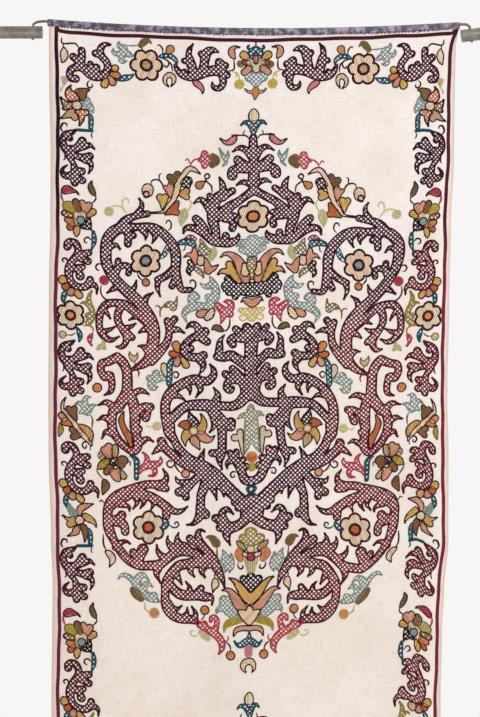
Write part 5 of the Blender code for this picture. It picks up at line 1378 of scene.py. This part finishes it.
def tapeStitches():
    # Slanting stitches that hold the tape's lower front edge: off the tape, over its edge, into the cloth.
    count, half = 132, cloth["halfWidth"] * 1000 - 3.0
    order = np.arange(count)
    jitter = (np.sin(order * 12.9898) * 43758.5453) % 1.0
    start = -half + 2 * half * (order + 0.6 * jitter) / count
    down = np.array([1.3, 2.2, 2.9, 3.4])[None, :] + 0.9 * (jitter[:, None] - 0.5)
    slant = np.array([1.3, 0.6, 0.0, -0.5])[None, :]
    points = np.stack([start[:, None] + slant, down], axis=-1).reshape(-1, 2)
    ids = np.arange(count * 4).reshape(count, 4)
    return ribs(points, np.tile((0.42, 0.12), (count * 4, 1)), np.tile((1.65, 1.9, 1.3, 0.2), count),
                np.tile((1.3, 1.35, 0.6, -0.2), count), np.repeat(jitter, 4),
                np.column_stack([ids[:, :-1].ravel(), ids[:, 1:].ravel()]))


linen = linenPanel()
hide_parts("linen_panel")
heading = headingTape()
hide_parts("heading_sleeve")
print("cloth and heading tape hung")

agedCodes = {"plum": dye["aged"], "darkPlum": dye["darkAged"]}
silks = {name: silk(name + "Silk", code, agedCodes.get(name)) for name, code in silkColours.items()}
embroidery = []
for (colour, kind, half), group in sorted(gather().items()):
    embroidery.append(stitchPiece(colour + kind + half, joined(group), silks[colour]))
embroidery.append(stitchPiece("edgePlait", edgePlait(), silk("plaitSilk", silkColours["darkPlum"], dye["plaitAged"]),
                              plaitDyeAt))
embroidery.append(stitchPiece("tapeStitches", tapeStitches(), silks["black"]))
counts = {piece.name: 2 * len(piece.data.polygons) for piece in embroidery}
print("embroidery worked:", sum(counts.values()), "triangles, most in a piece", max(counts.values()))

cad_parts["hanging_wire"].data.materials[0] = metal("agedBrass", "#5d5038", "#a08a5e", 0.38, (20, 900, 900))
for name in ("bar_left", "bar_right"):
    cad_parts[name].data.materials[0] = metal("satinSteel", "#6e6a62", "#a39c92", 0.42, (12, 700, 700))
print("wire and bars finished")

# Floor, light and camera
studio = {
    "floorZ": -1.80, "floorHalf": 2.2, "air": "#f7f5f6", "airStrength": 1.0,
    "lampAt": (1.5, -1.7, 0.35), "lampSize": 1.2, "lampPower": 22.0,
    "cameraAt": (-0.0136, -2.5, -0.3694), "sensor": 36.0, "lens": 110.8,
}
floorMesh = bpy.data.meshes.new("floor")
reach, level = studio["floorHalf"], studio["floorZ"]
floorMesh.from_pydata([(-reach, -reach, level), (reach, -reach, level), (reach, reach, level), (-reach, reach, level)],
                      [], [(0, 1, 2, 3)])
floor = bpy.data.objects.new("floor", floorMesh)
bpy.context.scene.collection.objects.link(floor)
paint, tree = newMaterial("paleFloorPaint")
finishWith(tree, Base_Color=linear("#e9e7e4"), Roughness=0.9)
floorMesh.materials.append(paint)

air = bpy.data.worlds.new("paleRoom")
air.use_nodes = True
background = air.node_tree.nodes["Background"]
background.inputs["Color"].default_value = linear(studio["air"])
background.inputs["Strength"].default_value = studio["airStrength"]
bpy.context.scene.world = air
bpy.context.scene.view_settings.view_transform = "Standard"


def aim(item, place, target):  # turns a lamp or camera at place to face target
    item.location = place
    item.rotation_euler = (Vector(target) - Vector(place)).to_track_quat("-Z", "Y").to_euler()
    bpy.context.scene.collection.objects.link(item)


lamp = bpy.data.lights.new("softLamp", "AREA")
lamp.shape, lamp.size, lamp.energy = "SQUARE", studio["lampSize"], studio["lampPower"]
aim(bpy.data.objects.new("softLamp", lamp), studio["lampAt"], (0.0, 0.0, -0.45))

view = bpy.data.cameras.new("camera")
view.sensor_width, view.lens = studio["sensor"], studio["lens"]
camera = bpy.data.objects.new("camera", view)
x, y, z = studio["cameraAt"]
aim(camera, (x, y, z), (x, 0.0, z))
bpy.context.scene.camera = camera
